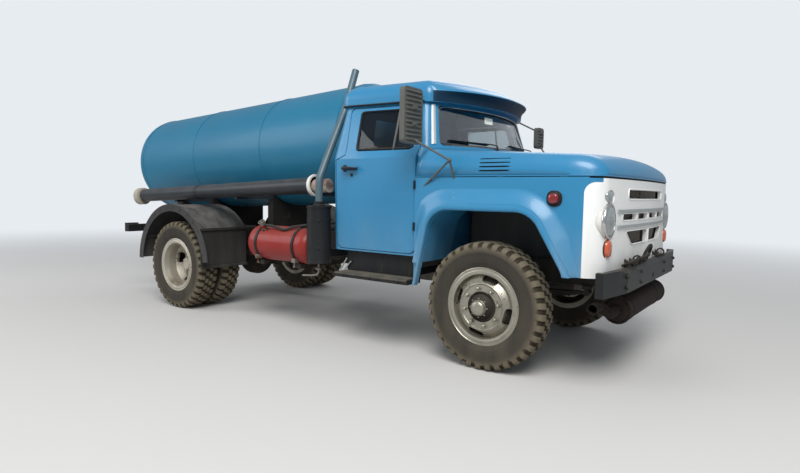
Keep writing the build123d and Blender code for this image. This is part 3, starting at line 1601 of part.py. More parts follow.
# Front bumper: a bowed channel with swept ends and a sloped top
with BuildPart() as front_bumper:
    with BuildSketch(Plane.XY.offset(bumper_bottom_z)) as bar:
        with BuildLine():
            Polyline(
                (bumper_end_x, -bumper_half),
                (bumper_x - bumper_sweep, -bumper_half),
                (bumper_x, -bumper_flat),
                (bumper_x, bumper_flat),
                (bumper_x - bumper_sweep, bumper_half),
                (bumper_end_x, bumper_half),
                (bumper_end_x, bumper_half - bumper_depth),
                (bumper_x - bumper_sweep - bumper_depth / 2, bumper_half - bumper_depth),
                (bumper_x - bumper_depth, bumper_flat - bumper_depth / 2),
                (bumper_x - bumper_depth, bumper_depth / 2 - bumper_flat),
                (bumper_x - bumper_sweep - bumper_depth / 2, bumper_depth - bumper_half),
                (bumper_end_x, bumper_depth - bumper_half),
                close=True,
            )
        make_face()
    extrude(amount=bumper_height)
    top_front = front_bumper.edges().group_by(Axis.Z)[-1].filter_by(
        lambda edge: edge.center().X > bumper_x - bumper_depth / 2)
    chamfer(top_front, bumper_slope)
    with Locations((bumper_x, 0, crank_z)):
        Cylinder(crank_radius, 2 * bumper_depth, rotation=(0, 90, 0), mode=Mode.SUBTRACT)
save(front_bumper.part, "front_bumper")

# Tow eyes standing on the bumper
hook_foot_z = bumper_bottom_z + bumper_height + seat_gap
with BuildPart() as tow_hooks:
    for name, side in SIDES:
        hook_plane = Plane.XZ.offset(-side * horn_y)
        with BuildSketch(hook_plane):
            with Locations((hook_x, hook_foot_z + hook_ring + hook_bar)):
                Circle(hook_ring + hook_bar)
                Circle(hook_ring, mode=Mode.SUBTRACT)
            with Locations((hook_x, hook_foot_z + hook_bar / 2)):
                Rectangle(2 * hook_ring + 2 * hook_bar, hook_bar)
        extrude(amount=hook_bar / 2, both=True)
save(tow_hooks.part, "tow_hooks")

# Cab steps: a tread plate, a riser behind it, and two arms from the frame
with BuildPart() as cab_steps:
    for name, side in SIDES:
        step_middle_y = side * (step_outer_y - step_depth / 2)
        step_length = step_front_x - step_rear_x
        step_x = (step_front_x + step_rear_x) / 2
        with Locations((step_x, step_middle_y, step_top_z - step_thickness / 2)):
            Box(step_length, step_depth, step_thickness)
        riser_y = side * (step_outer_y - step_depth + bracket_plate / 2)
        riser_height = cab_floor_z - seat_gap - step_top_z
        with Locations((step_x, riser_y, step_top_z + riser_height / 2)):
            Box(step_length, bracket_plate, riser_height)
        for place in (-step_length / 3, step_length / 3):
            arm_reach = step_outer_y - step_depth - rail_outer - seat_gap + bracket_plate
            arm_y = side * (rail_outer + seat_gap + arm_reach / 2)
            with Locations((step_x + place, arm_y, step_top_z + step_arm / 2)):
                Box(step_arm, arm_reach, step_arm)
save(cab_steps.part, "cab_steps")

# Silencer across the front, with its tailpipe to the right
with BuildPart() as silencer:
    with Locations((silencer_x, (silencer_left_y + silencer_right_y) / 2, silencer_z)):
        Cylinder(silencer_radius, silencer_left_y - silencer_right_y, rotation=(90, 0, 0))
    fillet(silencer.edges().filter_by(GeomType.CIRCLE), silencer_round)
    for name, side in SIDES:
        hanger_z = silencer_z + silencer_radius - strap_thickness
        hanger_height = rail_bottom - seat_gap - hanger_z
        with Locations((silencer_x, side * horn_y, hanger_z + hanger_height / 2)):
            Box(strap_width, strap_width, hanger_height)
with BuildPart() as tailpipe:
    with BuildLine():
        FilletPolyline(
            (silencer_x, silencer_right_y + silencer_round, silencer_z),
            (silencer_x, tailpipe_bend_y, silencer_z),
            (tailpipe_x, tailpipe_turn_y, tailpipe_z),
            (tailpipe_x, tailpipe_end_y, tailpipe_z),
            radius=tailpipe_bend,
        )
    with BuildSketch(Plane((silencer_x, silencer_right_y + silencer_round, silencer_z), z_dir=(0, -1, 0))):
        Circle(tailpipe_radius)
    sweep()
    with BuildSketch(Plane((tailpipe_x, tailpipe_end_y, tailpipe_z), z_dir=(0, 1, 0))):
        Circle(tailpipe_radius - carrier_wall)
    extrude(amount=-tailpipe_end_y / 8, mode=Mode.SUBTRACT)
with BuildPart() as whole_silencer:
    add(silencer.part)
    add(tailpipe.part)
save(whole_silencer.part, "silencer")

# Rear bar with its lamp ends
with BuildPart() as rear_bumper:
    with Locations((frame_rear_x - seat_gap - rear_bar_depth / 2, 0, rear_bar_z)):
        Box(rear_bar_depth, 2 * rear_bar_half, rear_bar_height)
save(rear_bumper.part, "rear_bumper")

# Outside mirrors on their tube arms
# Mirror rows: side, middle x, middle y, low z, high z, width, foot x of the low arm
MIRRORS = (
    (-1, front_axle_x - 500.0, 1253.0, 1705.0, 2120.0, 240.0),
    (1, front_axle_x - 470.0, 1110.0, 1840.0, 2060.0, 170.0),
)
for side, mirror_x, mirror_y, low_z, high_z, width in MIRRORS:
    name = "left" if side > 0 else "right"
    with BuildPart() as housing:
        with Locations((mirror_x, side * mirror_y, (low_z + high_z) / 2)):
            Box(mirror_depth, width, high_z - low_z)
        fillet(housing.edges().filter_by(Axis.X), mirror_round)
    arm_top = (mirror_x, side * mirror_y, high_z - mirror_depth)
    arm_low = (mirror_x, side * mirror_y, low_z + mirror_depth)
    roof_foot = (roof_foot_x, side * roof_foot_y, roof_foot_z)
    knuckle_place = (mirror_knee_x, side * mirror_knee_y, mirror_knee_z)
    wing_foot = (mirror_knee_x, side * (wing_half - skin), wing_foot_z)
    pillar_foot = (pillar_foot_x, side * (wing_half - skin), pillar_foot_z)
    rods = (
        (arm_top, roof_foot),
        (arm_low, knuckle_place),
        (knuckle_place, wing_foot),
        (knuckle_place, pillar_foot),
    )
    with BuildPart() as mirror_piece:
        add(housing.part)
        for start, end in rods:
            run = Vector(*end) - Vector(*start)
            with BuildSketch(Plane(start, z_dir=run)):
                Circle(mirror_rod)
            extrude(amount=run.length)
        with Locations(knuckle_place):
            Sphere(mirror_rod * 2)
        extrude(nose_plan(-seat_gap, bonnet_side_rear_x), amount=sill_z, mode=Mode.SUBTRACT)
    save(mirror_piece.part, f"mirror_{name}")

# Dashboard under the cowl, with the steering column
wheel_axis = Vector(-cos(radians(column_angle)), 0, sin(radians(column_angle)))
column_top = Vector(steering_wheel_x, steering_wheel_y, steering_wheel_z)
column_foot = column_top - wheel_axis * column_length
dash_front_x = firewall_x - cab_wall - seat_gap
with BuildPart() as dashboard:
    with Locations((dash_front_x - dash_depth / 2, 0, sill_z - cowl_plate - seat_gap - dash_height / 2)):
        Box(dash_depth, 2 * dash_half, dash_height)
    fillet(dashboard.edges().filter_by(Axis.Y).group_by(Axis.X)[0], dash_round)
    with BuildSketch(Plane(column_foot, z_dir=wheel_axis)):
        Circle(column_radius)
    extrude(amount=column_length - bearing_gap)
save(dashboard.part, "dashboard")

# Steering wheel: rim, three spokes and a hub
with BuildPart() as steering_wheel:
    with BuildSketch(Plane(column_top, x_dir=(0, 1, 0), z_dir=wheel_axis)):
        Circle(wheel_hub_radius)
    extrude(amount=wheel_hub_height)
    with BuildSketch(Plane(column_top, x_dir=(0, 1, 0), z_dir=wheel_axis)):
        with PolarLocations(0, spoke_count, start_angle=90):
            Rectangle(steering_wheel_radius, spoke_width, align=(Align.MIN, Align.CENTER))
    extrude(amount=spoke_thickness)
    with Locations(Plane(column_top + wheel_axis * spoke_thickness / 2, x_dir=(0, 1, 0), z_dir=wheel_axis)):
        Torus(steering_wheel_radius, wheel_rim_radius)
save(steering_wheel.part, "steering_wheel")

# Seats: a base box, a cushion and a back on each side
seat_floor_z = cab_floor_z + cab_wall + seat_gap
with BuildPart() as seat_bases:
    for name, side in SIDES:
        with Locations((seat_x, side * seat_y, seat_floor_z)):
            Box(seat_base_length, seat_base_width, seat_base_height,
                align=(Align.CENTER, Align.CENTER, Align.MIN))
save(seat_bases.part, "seat_bases")

cushion_bottom_z = seat_floor_z + seat_base_height + seat_gap
with BuildPart() as seat_cushions:
    for name, side in SIDES:
        with Locations((seat_x, side * seat_y, cushion_bottom_z)):
            Box(cushion_length, cushion_width, cushion_height, align=(Align.CENTER, Align.CENTER, Align.MIN))
    fillet(seat_cushions.edges(), cushion_round)
save(seat_cushions.part, "seat_cushions")

back_bottom_z = cushion_bottom_z + cushion_height + seat_gap
with BuildPart() as seat_backs:
    for name, side in SIDES:
        with Locations((seat_x - cushion_length / 2 + back_depth / 2, side * seat_y, back_bottom_z)):
            Box(back_depth, cushion_width, back_height, align=(Align.CENTER, Align.CENTER, Align.MIN))
    fillet(seat_backs.edges(), cushion_round)
save(seat_backs.part, "seat_backs")
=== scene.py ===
"""A vacuum tanker truck with a bonneted cab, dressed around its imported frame.

Every size is in metres, +X points to the truck's front, +Y to its left side and +Z up.
"""

import logging
from dataclasses import dataclass
from enum import Enum
from math import cos, pi, radians, sin
from typing import Callable, Optional, Sequence

import bmesh
import bpy
import numpy as np
from mathutils import Matrix, Vector
from mathutils.bvhtree import BVHTree


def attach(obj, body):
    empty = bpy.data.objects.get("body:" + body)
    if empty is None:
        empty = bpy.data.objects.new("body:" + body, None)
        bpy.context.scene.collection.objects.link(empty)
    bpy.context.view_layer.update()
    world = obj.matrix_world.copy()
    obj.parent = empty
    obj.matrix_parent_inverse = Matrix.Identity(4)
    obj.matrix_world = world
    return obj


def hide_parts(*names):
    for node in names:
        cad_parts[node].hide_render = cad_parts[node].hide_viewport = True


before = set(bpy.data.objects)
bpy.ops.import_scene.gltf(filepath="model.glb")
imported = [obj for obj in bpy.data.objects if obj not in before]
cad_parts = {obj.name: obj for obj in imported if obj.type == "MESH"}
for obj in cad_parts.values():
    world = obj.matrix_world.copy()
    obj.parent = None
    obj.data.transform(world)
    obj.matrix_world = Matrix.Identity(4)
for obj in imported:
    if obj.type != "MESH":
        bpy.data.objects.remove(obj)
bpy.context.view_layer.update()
NODES: dict[str, bpy.types.Object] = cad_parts
LOG = logging.getLogger("tanker")

FRONT_AXLE = 2.41
REAR_AXLE = -1.39
AXLE_HEIGHT = 0.49
WING_REAR = FRONT_AXLE - 0.592
NOSE_SIDE = FRONT_AXLE + 0.852
NOSE_TIP = FRONT_AXLE + 0.918
HALF_AT_REAR, HALF_AT_NOSE = 1.046, 1.02
AHEAD, BESIDE = 3.2, 1.4
LEFT, RIGHT = 1.0, -1.0
SIDE_NAMES = {LEFT: "left", RIGHT: "right"}

Array = np.ndarray
Colour = tuple[float, float, float]
Point = tuple[float, float, float]
Pair = tuple[float, float]
Profile = Sequence[Pair]
Node = bpy.types.Node
Socket = bpy.types.NodeSocket


def with_settings(thing: object, **settings: object) -> object:
    """Give a thing its properties, and give the thing back."""
    for name, value in settings.items():
        setattr(thing, name, value)
    return thing


def show(name: str, data: object) -> bpy.types.Object:
    """Put a mesh, a lamp or a camera into the scene."""
    made = bpy.data.objects.new(name, data)
    bpy.context.scene.collection.objects.link(made)
    return made


# Finishes


class Group(Enum):
    """The shader node groups that the materials share."""

    WEATHER = "weather"
    CHIPS = "chips"

    def tree(self) -> bpy.types.NodeTree:
        """Give the group's node tree, made on the first call."""
        if self.value not in bpy.data.node_groups:
            made = bpy.data.node_groups.new(self.value, "ShaderNodeTree")
            {Group.WEATHER: add_weather, Group.CHIPS: add_chips}[self](Wiring(made))
        return bpy.data.node_groups[self.value]


class Blend(Enum):
    """What a mix node mixes: its data type, its first input and its output."""

    COLOURS = ("RGBA", 6, 2)
    NUMBERS = ("FLOAT", 2, 0)


class Wiring:
    """Short ways to add and join the nodes of one tree."""

    def __init__(self, tree: bpy.types.NodeTree) -> None:
        """Hold the tree."""
        self.tree = tree

    def feed(self, node: Node, inputs: dict) -> None:
        """Give each input, by its name or number, another node's socket or a value."""
        for name, value in inputs.items():
            if isinstance(value, Socket):
                self.tree.links.new(value, node.inputs[name])
            else:
                node.inputs[name].default_value = value

    def add(self, kind: str, inputs: Optional[dict] = None, **settings: object) -> Node:
        """Add a shader node.

        Args:
            kind: The node's type without its usual first part.
            inputs: What each input reads.
            settings: The node's properties.

        Returns:
            The node.
        """
        node = with_settings(self.tree.nodes.new(f"ShaderNode{kind}"), **settings)
        self.feed(node, inputs or {})
        return node

    def group(self, which: Group, inputs: dict) -> bpy.types.NodeOutputs:
        """Place a shared group with its own values and give its outputs."""
        return self.add("Group", inputs, node_tree=which.tree()).outputs

    def place(self) -> Socket:
        """The Object coordinates."""
        return self.add("TexCoord").outputs["Object"]

    def split(self, vector: Socket) -> bpy.types.NodeOutputs:
        """The X, Y and Z parts of a vector."""
        return self.add("SeparateXYZ", {0: vector}).outputs

    def noise(self, place: Socket, scale: object, detail: float) -> Socket:
        """Soft noise of so many waves per metre, with levels of finer waves."""
        return self.add("TexNoise", {"Vector": place, "Scale": scale, "Detail": detail}).outputs["Fac"]

    def math(self, what: str, a: object, b: object = 0.0, clamp: bool = False) -> Socket:
        """Work out one operation on two sockets or numbers, kept from 0 to 1 when clamped."""
        return self.add("Math", {0: a, 1: b}, operation=what, use_clamp=clamp).outputs[0]

    def mix(self, share: object, a: object, b: object, what: Blend = Blend.COLOURS) -> Socket:
        """Mix two colours or numbers, each a socket or a value, by a share from 0 to 1."""
        kind, first, result = what.value
        return self.add("Mix", {0: share, first: a, first + 1: b}, data_type=kind).outputs[result]

    def span(self, value: object, low: object, high: object, at_low: float = 0.0, at_high: float = 1.0,
             way: str = "LINEAR") -> Socket:
        """Turn a value that goes from low to high into one that goes from at_low to at_high."""
        ends = {"Value": value, "From Min": low, "From Max": high, "To Min": at_low, "To Max": at_high}
        return self.add("MapRange", ends, interpolation_type=way).outputs[0]

    def finish(self, share: object, first: Node, second: Node, end: str = "Material Output") -> None:
        """Send a mix of two shaders to the tree's output."""
        mix = self.add("MixShader", {0: share, 1: first.outputs[0], 2: second.outputs[0]})
        self.feed(self.tree.nodes[end], {"Surface": mix.outputs[0]})

    def interface(self, given: Sequence[tuple], out: Sequence[tuple]) -> tuple[object, object]:
        """Make a group's named sockets.

        Args:
            given: The name, the kind and the usual value of each input.
            out: The name and the kind of each output.

        Returns:
            The sockets that the group reads, and the node that it fills.
        """
        for name, kind, value in given:
            made = self.tree.interface.new_socket(name=name, in_out="INPUT", socket_type=f"NodeSocket{kind}")
            made.default_value = value
        for name, kind in out:
            self.tree.interface.new_socket(name=name, in_out="OUTPUT", socket_type=f"NodeSocket{kind}")
        return self.tree.nodes.new("NodeGroupInput").outputs, self.tree.nodes.new("NodeGroupOutput")


def add_weather(wires: Wiring) -> None:
    """Paint tone that varies in soft patches, with dust that lies low and on upward faces.

    Dust = (amount x low band by height + top amount x upward face) x streaky noise. Roughness rises
    with the dust.
    """
    given, out = wires.interface(
        [("Color", "Color", (0.5, 0.5, 0.5, 1)), ("Tone", "Color", (0.4, 0.4, 0.4, 1)),
         ("Dust Color", "Color", (0.33, 0.27, 0.2, 1)), ("Dust", "Float", 0.3), ("Dust Top", "Float", 0.2),
         ("Low", "Float", 0.3), ("High", "Float", 1.3), ("Patch", "Float", 2.5), ("Grain", "Float", 160.0),
         ("Roughness", "Float", 0.4), ("Bump", "Float", 0.2)],
        [("Color", "Color"), ("Roughness", "Float"), ("Height", "Float")])
    place = wires.place()
    patch = wires.noise(place, given["Patch"], 4.0)
    grain = wires.noise(place, given["Grain"], 3.0)
    upright = wires.add("Mapping", {"Vector": place, "Scale": (9.0, 9.0, 1.4)}).outputs[0]
    mottle = wires.span(wires.noise(upright, 1.0, 5.0), 0.32, 0.68, 0.35, 1.35)
    low = wires.span(wires.split(place)["Z"], given["Low"], given["High"], 1.0, 0.0)
    upward = wires.math("MAXIMUM", wires.split(wires.add("NewGeometry").outputs["Normal"])["Z"], 0.0)
    upward = wires.math("MULTIPLY", wires.math("POWER", upward, 2.0), given["Dust Top"])
    lying = wires.math("MULTIPLY", low, given["Dust"])
    dust = wires.math("MULTIPLY", wires.math("ADD", lying, upward), mottle, clamp=True)
    toned = wires.mix(patch, given["Color"], given["Tone"])
    wires.feed(out, {"Color": wires.mix(dust, toned, given["Dust Color"]),
                     "Roughness": wires.mix(dust, given["Roughness"], 0.92, Blend.NUMBERS),
                     "Height": wires.math("MULTIPLY", grain, given["Bump"])})


def add_chips(wires: Wiring) -> None:
    """Small chips and scratches: a mask that is 1 where two noises are both high."""
    given, out = wires.interface([("Scale", "Float", 14.0), ("Amount", "Float", 0.3)], [("Mask", "Float")])
    place = wires.place()
    both = wires.math("MULTIPLY", wires.noise(place, 3.0, 2.0), wires.noise(place, given["Scale"], 6.0))
    start = wires.math("SUBTRACT", 0.52, given["Amount"])
    wires.feed(out, {"Mask": wires.span(both, start, wires.math("ADD", start, 0.03))})


def new_material(name: str) -> tuple[bpy.types.Material, Wiring, Node]:
    """A new material, the wiring of its tree and its main shader."""
    made = bpy.data.materials.new(name)
    made.use_nodes = True
    return made, Wiring(made.node_tree), made.node_tree.nodes["Principled BSDF"]


def nose_mask(wires: Wiring) -> Socket:
    """The painted edge between blue and white on the side of the nose, 1 on the blue part.

    The blue keeps a strip above the white and a round corner: it is where the distance from the
    corner's middle passes the corner's radius.
    """
    place = wires.split(wires.place())
    radius, corner_x, corner_z, white_from = 0.075, FRONT_AXLE + 0.742, 1.425, FRONT_AXLE + 0.845
    back = wires.math("MAXIMUM", wires.math("SUBTRACT", corner_x + radius, place["X"]), 0.0)
    rise = wires.math("MAXIMUM", wires.math("SUBTRACT", place["Z"], corner_z - radius), 0.0)
    squares = wires.math("ADD", wires.math("POWER", back, 2.0), wires.math("POWER", rise, 2.0))
    step = wires.span(wires.math("POWER", squares, 0.5), radius - 0.001, radius + 0.001)
    return wires.math("MULTIPLY", step, wires.math("LESS_THAN", place["X"], white_from))


def tread_mask(wires: Wiring) -> Socket:
    """The dusty outer band of every tyre, by the distance from its axle: 1 over shoulder and tread."""
    place = wires.split(wires.place())
    in_front = wires.math("GREATER_THAN", place["X"], 0.5)
    axle = wires.math("ADD", wires.math("MULTIPLY", in_front, FRONT_AXLE - REAR_AXLE), REAR_AXLE)
    along = wires.math("SUBTRACT", place["X"], axle)
    rise = wires.math("SUBTRACT", place["Z"], AXLE_HEIGHT)
    squares = wires.math("ADD", wires.math("MULTIPLY", along, along), wires.math("MULTIPLY", rise, rise))
    return wires.span(wires.math("SQRT", squares), 0.405, 0.462)


@dataclass(frozen=True)
class Finish:
    """One weathered finish: its colours, gloss, dust, chips and grain, and a colour painted as shade where an
    attribute is high.
    """

    name: str
    colour: Colour
    tone: Colour
    roughness: float = 0.4
    metallic: float = 0.0
    coat: float = 0.0
    dust: float = 0.25
    dust_top: float = 0.15
    low: float = 0.35
    high: float = 1.3
    dust_colour: Colour = (0.36, 0.3, 0.22)
    patch: float = 2.5
    grain: float = 220.0
    bump: float = 0.15
    bump_reach: float = 0.0006
    chips: float = 0.0
    chip_scale: float = 30.0
    chip_colour: Colour = (0.13, 0.07, 0.04)
    attribute: str = ""
    # Colour mixed in where the attribute is high: painted shade in the tyres' grooves.
    attribute_shade_colour: Colour = (0.3, 0.26, 0.2)
    second: Colour = (0.0, 0.0, 0.0)
    mask: Optional[Callable] = None
    specular: float = 0.5

    def material(self) -> bpy.types.Material:
        """Give the finish's material, made on the first call."""
        label = f"look_{self.name}"
        if label in bpy.data.materials:
            return bpy.data.materials[label]
        made, wires, shader = new_material(label)
        looks = {"Color": (*self.colour, 1), "Tone": (*self.tone, 1), "Dust Color": (*self.dust_colour, 1),
                 "Dust": self.dust, "Dust Top": self.dust_top, "Low": self.low, "High": self.high,
                 "Patch": self.patch, "Grain": self.grain, "Roughness": self.roughness, "Bump": self.bump}
        if self.mask:
            mask = self.mask(wires)
            second_tone = tuple(0.93 * part for part in self.second)
            looks["Color"] = wires.mix(mask, looks["Color"], (*self.second, 1))
            looks["Tone"] = wires.mix(mask, looks["Tone"], (*second_tone, 1))
        weather = wires.group(Group.WEATHER, looks)
        colour, rough = weather["Color"], weather["Roughness"]
        if self.chips > 0:
            chipped = wires.group(Group.CHIPS, {"Scale": self.chip_scale, "Amount": self.chips})["Mask"]
            colour = wires.mix(chipped, colour, (*self.chip_colour, 1))
            rough = wires.mix(chipped, rough, 0.85, Blend.NUMBERS)
        # Painted shade: where the attribute is high (the tyres' grooves) the colour turns to the attribute's
        # shade colour.
        if self.attribute:
            deep = wires.add("Attribute", attribute_name=self.attribute).outputs["Fac"]
            colour = wires.mix(deep, colour, (*self.attribute_shade_colour, 1))
            rough = wires.mix(deep, rough, 0.95, Blend.NUMBERS)
        bump = wires.add("Bump", {"Distance": self.bump_reach, "Height": weather["Height"]})
        wires.feed(shader, {"Metallic": self.metallic, "Coat Weight": self.coat, "Coat Roughness": 0.12,
                            "Specular IOR Level": self.specular, "Base Color": colour, "Roughness": rough,
                            "Normal": bump.outputs["Normal"]})
        return made


CAB_BLUE = (0.022, 0.205, 0.392)
BLUE = Finish("cab_blue", CAB_BLUE, (0.016, 0.172, 0.34), 0.36, coat=0.2, dust=0.2, dust_top=0.1,
              low=0.55, high=1.25, dust_colour=(0.24, 0.29, 0.3), chips=0.05, chip_scale=60.0,
              chip_colour=(0.1, 0.24, 0.34), grain=70.0, bump=0.2, bump_reach=0.0005)
TANK_BLUE = Finish("tank_blue", (0.01, 0.16, 0.28), (0.007, 0.128, 0.23), 0.42, coat=0.06, dust=0.08,
                   dust_top=0.07, low=1.0, high=2.2, dust_colour=(0.12, 0.22, 0.26), patch=1.3, chips=0.06,
                   chip_scale=26.0, chip_colour=(0.06, 0.11, 0.13), grain=30.0, bump=0.5, bump_reach=0.001,
                   specular=0.3)
WHITE = Finish("nose_white", (0.84, 0.84, 0.82), (0.79, 0.795, 0.775), 0.38, coat=0.2, dust=0.22,
               dust_top=0.1, low=0.75, high=1.2, chips=0.05, chip_scale=55.0, chip_colour=(0.34, 0.36, 0.35),
               dust_colour=(0.42, 0.4, 0.35), second=CAB_BLUE, mask=nose_mask)
PLAIN_WHITE = Finish("rim_white", (0.72, 0.71, 0.67), (0.62, 0.6, 0.56), 0.45, dust=0.2)
BLACK = Finish("black_paint", (0.006, 0.008, 0.01), (0.01, 0.012, 0.014), 0.42, dust=0.08, dust_top=0.3,
               low=0.45, high=1.3, dust_colour=(0.17, 0.15, 0.12), chips=0.07, chip_scale=40.0,
               chip_colour=(0.05, 0.035, 0.025), specular=0.22)
CARRIER = Finish("carrier_black", (0.014, 0.018, 0.024), (0.022, 0.027, 0.034), 0.36, dust=0.1, dust_top=0.22,
                 low=0.9, high=1.6, dust_colour=(0.2, 0.19, 0.165), specular=0.25)
CHASSIS = Finish("chassis_black", (0.01, 0.01, 0.01), (0.02, 0.018, 0.016), 0.62, dust=0.3, dust_top=0.4,
                 low=0.35, high=1.1, dust_colour=(0.11, 0.09, 0.066), chips=0.12, chip_scale=22.0,
                 chip_colour=(0.07, 0.038, 0.024), specular=0.2)
GUARD = Finish("guard_black", (0.02, 0.02, 0.022), (0.033, 0.032, 0.031), 0.55, dust=0.3, dust_top=0.75,
               low=0.4, high=1.25, dust_colour=(0.165, 0.155, 0.14), patch=4.0, chips=0.08, chip_scale=35.0,
               specular=0.28)
MIRROR = Finish("mirror_grey", (0.108, 0.108, 0.096), (0.074, 0.076, 0.07), 0.5, dust=0.4, dust_top=0.3,
                dust_colour=(0.16, 0.145, 0.115), patch=14.0, grain=120.0, bump=0.5, specular=0.3)
RED = Finish("cylinder_red", (0.27, 0.011, 0.01), (0.2, 0.01, 0.009), 0.38, coat=0.1, dust=0.08,
             dust_top=0.16, low=0.5, high=1.1, chips=0.09, chip_scale=38.0, chip_colour=(0.07, 0.025, 0.02),
             specular=0.22)
RUBBER = Finish("rubber_black", (0.014, 0.014, 0.015), (0.023, 0.022, 0.021), 0.72, dust=0.18, dust_top=0.3,
                dust_colour=(0.17, 0.15, 0.12), grain=340.0, bump=0.5, specular=0.25)
# Tyre rubber: dust on the tread band; the grooves are painted dark brown as shade.
TYRE = Finish("tyre_rubber", (0.027, 0.026, 0.024), (0.042, 0.038, 0.032), 0.9, dust=0.35, dust_top=0.35,
              low=-0.3, high=1.25, dust_colour=(0.15, 0.125, 0.085), patch=9.0, grain=230.0, bump=0.8,
              bump_reach=0.0012, attribute="groove", attribute_shade_colour=(0.04, 0.033, 0.022),
              second=(0.15, 0.128, 0.09), mask=tread_mask, specular=0.15)
SILVER = Finish("wheel_silver", (0.46, 0.435, 0.365), (0.33, 0.31, 0.26), 0.3, metallic=0.8, dust=0.3,
                dust_top=0.35, low=0.1, high=1.0, dust_colour=(0.13, 0.108, 0.075), patch=7.0, chips=0.12,
                chip_scale=45.0, chip_colour=(0.09, 0.06, 0.04), specular=0.4)
REAR_SILVER = Finish("rear_wheel_silver", (0.62, 0.585, 0.505), (0.47, 0.44, 0.375), 0.34, metallic=0.6,
                     dust=0.6, dust_top=0.4, low=0.1, high=1.0, dust_colour=(0.24, 0.2, 0.145), patch=6.0,
                     chips=0.12, chip_scale=40.0, chip_colour=(0.16, 0.1, 0.06), specular=0.3)
BRIGHT = Finish("bright_metal", (0.62, 0.62, 0.61), (0.5, 0.5, 0.49), 0.2, metallic=0.95, dust=0.12,
                grain=260.0)
# Painted shade: the cab blue made far darker for the roof visor's underside.
VISOR_PAINTED_SHADE = Finish("visor_painted_shade", (0.004, 0.03, 0.06), (0.003, 0.022, 0.048), 0.5, dust=0.1, specular=0.25)
# Painted reflection: a pale bluish grey strip that stands for the sheen on the windscreen pillars.
PILLAR_REFLECTION = Finish("pillar_painted_reflection", (0.46, 0.51, 0.53), (0.38, 0.43, 0.45), 0.38, metallic=0.25, dust=0.1,
               patch=12.0)
BARS = Finish("bar_grey", (0.37, 0.4, 0.4), (0.3, 0.33, 0.33), 0.42, metallic=0.1, dust=0.15, patch=8.0)
STEEL = Finish("bare_steel", (0.26, 0.25, 0.23), (0.19, 0.175, 0.155), 0.42, metallic=0.8, dust=0.3,
               chips=0.2, chip_scale=30.0, chip_colour=(0.13, 0.06, 0.03))
PIPE = Finish("pipe_grey", (0.092, 0.15, 0.178), (0.066, 0.108, 0.13), 0.42, metallic=0.2, dust=0.12,
              chips=0.08, chip_scale=28.0, specular=0.4)
STEP = Finish("step_board", (0.066, 0.066, 0.056), (0.05, 0.05, 0.044), 0.6, metallic=0.3, dust=0.4,
              dust_top=0.4, dust_colour=(0.17, 0.145, 0.11), specular=0.3)
RUST = Finish("rusty_iron", (0.022, 0.016, 0.013), (0.013, 0.011, 0.01), 0.85, dust=0.1, dust_top=0.25,
              low=0.2, high=1.0, dust_colour=(0.08, 0.062, 0.045), patch=11.0, grain=180.0, bump=0.9,
              bump_reach=0.0016, specular=0.15)
HOSE_BEIGE = Finish("hose_beige", (0.4, 0.36, 0.285), (0.31, 0.275, 0.22), 0.6, dust=0.35)
HOSE_ROSE = Finish("hose_rose", (0.4, 0.27, 0.235), (0.32, 0.22, 0.19), 0.6, dust=0.3)
AMBER = Finish("amber_lens", (0.6, 0.1, 0.03), (0.5, 0.075, 0.025), 0.16, coat=0.6, dust=0.2, patch=20.0,
               grain=500.0)
RED_LENS = Finish("red_lens", (0.22, 0.013, 0.016), (0.16, 0.011, 0.013), 0.16, coat=0.6, dust=0.15,
                  patch=20.0)
CLEAR_LENS = Finish("clear_lens", (0.34, 0.38, 0.37), (0.26, 0.3, 0.29), 0.1, metallic=0.25, coat=0.8,
                    dust=0.12, patch=30.0, grain=420.0, bump=0.6)
LEATHER = Finish("seat_brown", (0.125, 0.04, 0.022), (0.09, 0.03, 0.018), 0.52, dust=0.1, dust_top=0.12,
                 grain=420.0, bump=1.0, bump_reach=0.0008, patch=6.0)
INSIDE = Finish("cab_inside", (0.022, 0.027, 0.03), (0.016, 0.019, 0.021), 0.7, dust=0.06, specular=0.2)
# Flat black used as painted shade: the louvre mouths, the sheet behind the grille mesh and the cone behind
# the front wheels' hand holes; the front hub sleeves are black too.
SHADE_BLACK = Finish("painted_shade_black", (0.006, 0.006, 0.007), (0.009, 0.009, 0.01), 0.85, dust=0.08, specular=0.08)
CORE = Finish("radiator_core", (0.03, 0.03, 0.028), (0.055, 0.05, 0.042), 0.6, metallic=0.4, dust=0.3)
ENGINE = Finish("engine_grey", (0.055, 0.062, 0.066), (0.035, 0.037, 0.038), 0.6, metallic=0.3, dust=0.3,
                chips=0.12)


@dataclass(frozen=True)
class Glass:
    """Window glass with a thin film of dirt; the light that falls through it is tinted by its shade."""

    name: str
    colour: Colour
    roughness: float = 0.02
    shade: float = 0.8
    index: float = 1.33

    def material(self) -> bpy.types.Material:
        """Give the glass material, made on the first call."""
        label = f"look_{self.name}"
        if label in bpy.data.materials:
            return bpy.data.materials[label]
        made, wires, shader = new_material(label)
        film = wires.noise(wires.place(), 5.0, 5.0)
        rough = wires.span(film, 0.45, 0.8, self.roughness, self.roughness + 0.1)
        wires.feed(shader, {"Base Color": (*self.colour, 1), "Metallic": 0.0, "Transmission Weight": 1.0,
                            "IOR": self.index, "Roughness": rough})
        tint = tuple(self.shade * part for part in self.colour)
        clear = wires.add("BsdfTransparent", {"Color": (*tint, 1)})
        wires.finish(wires.add("LightPath").outputs["Is Shadow Ray"], shader, clear)
        return made


SCREEN = Glass("window_glass_clear", (0.95, 0.98, 0.98), index=1.75)
WINDOW = Glass("window_glass_dark", (0.27, 0.33, 0.36), 0.01, 0.25)


# Mesh work


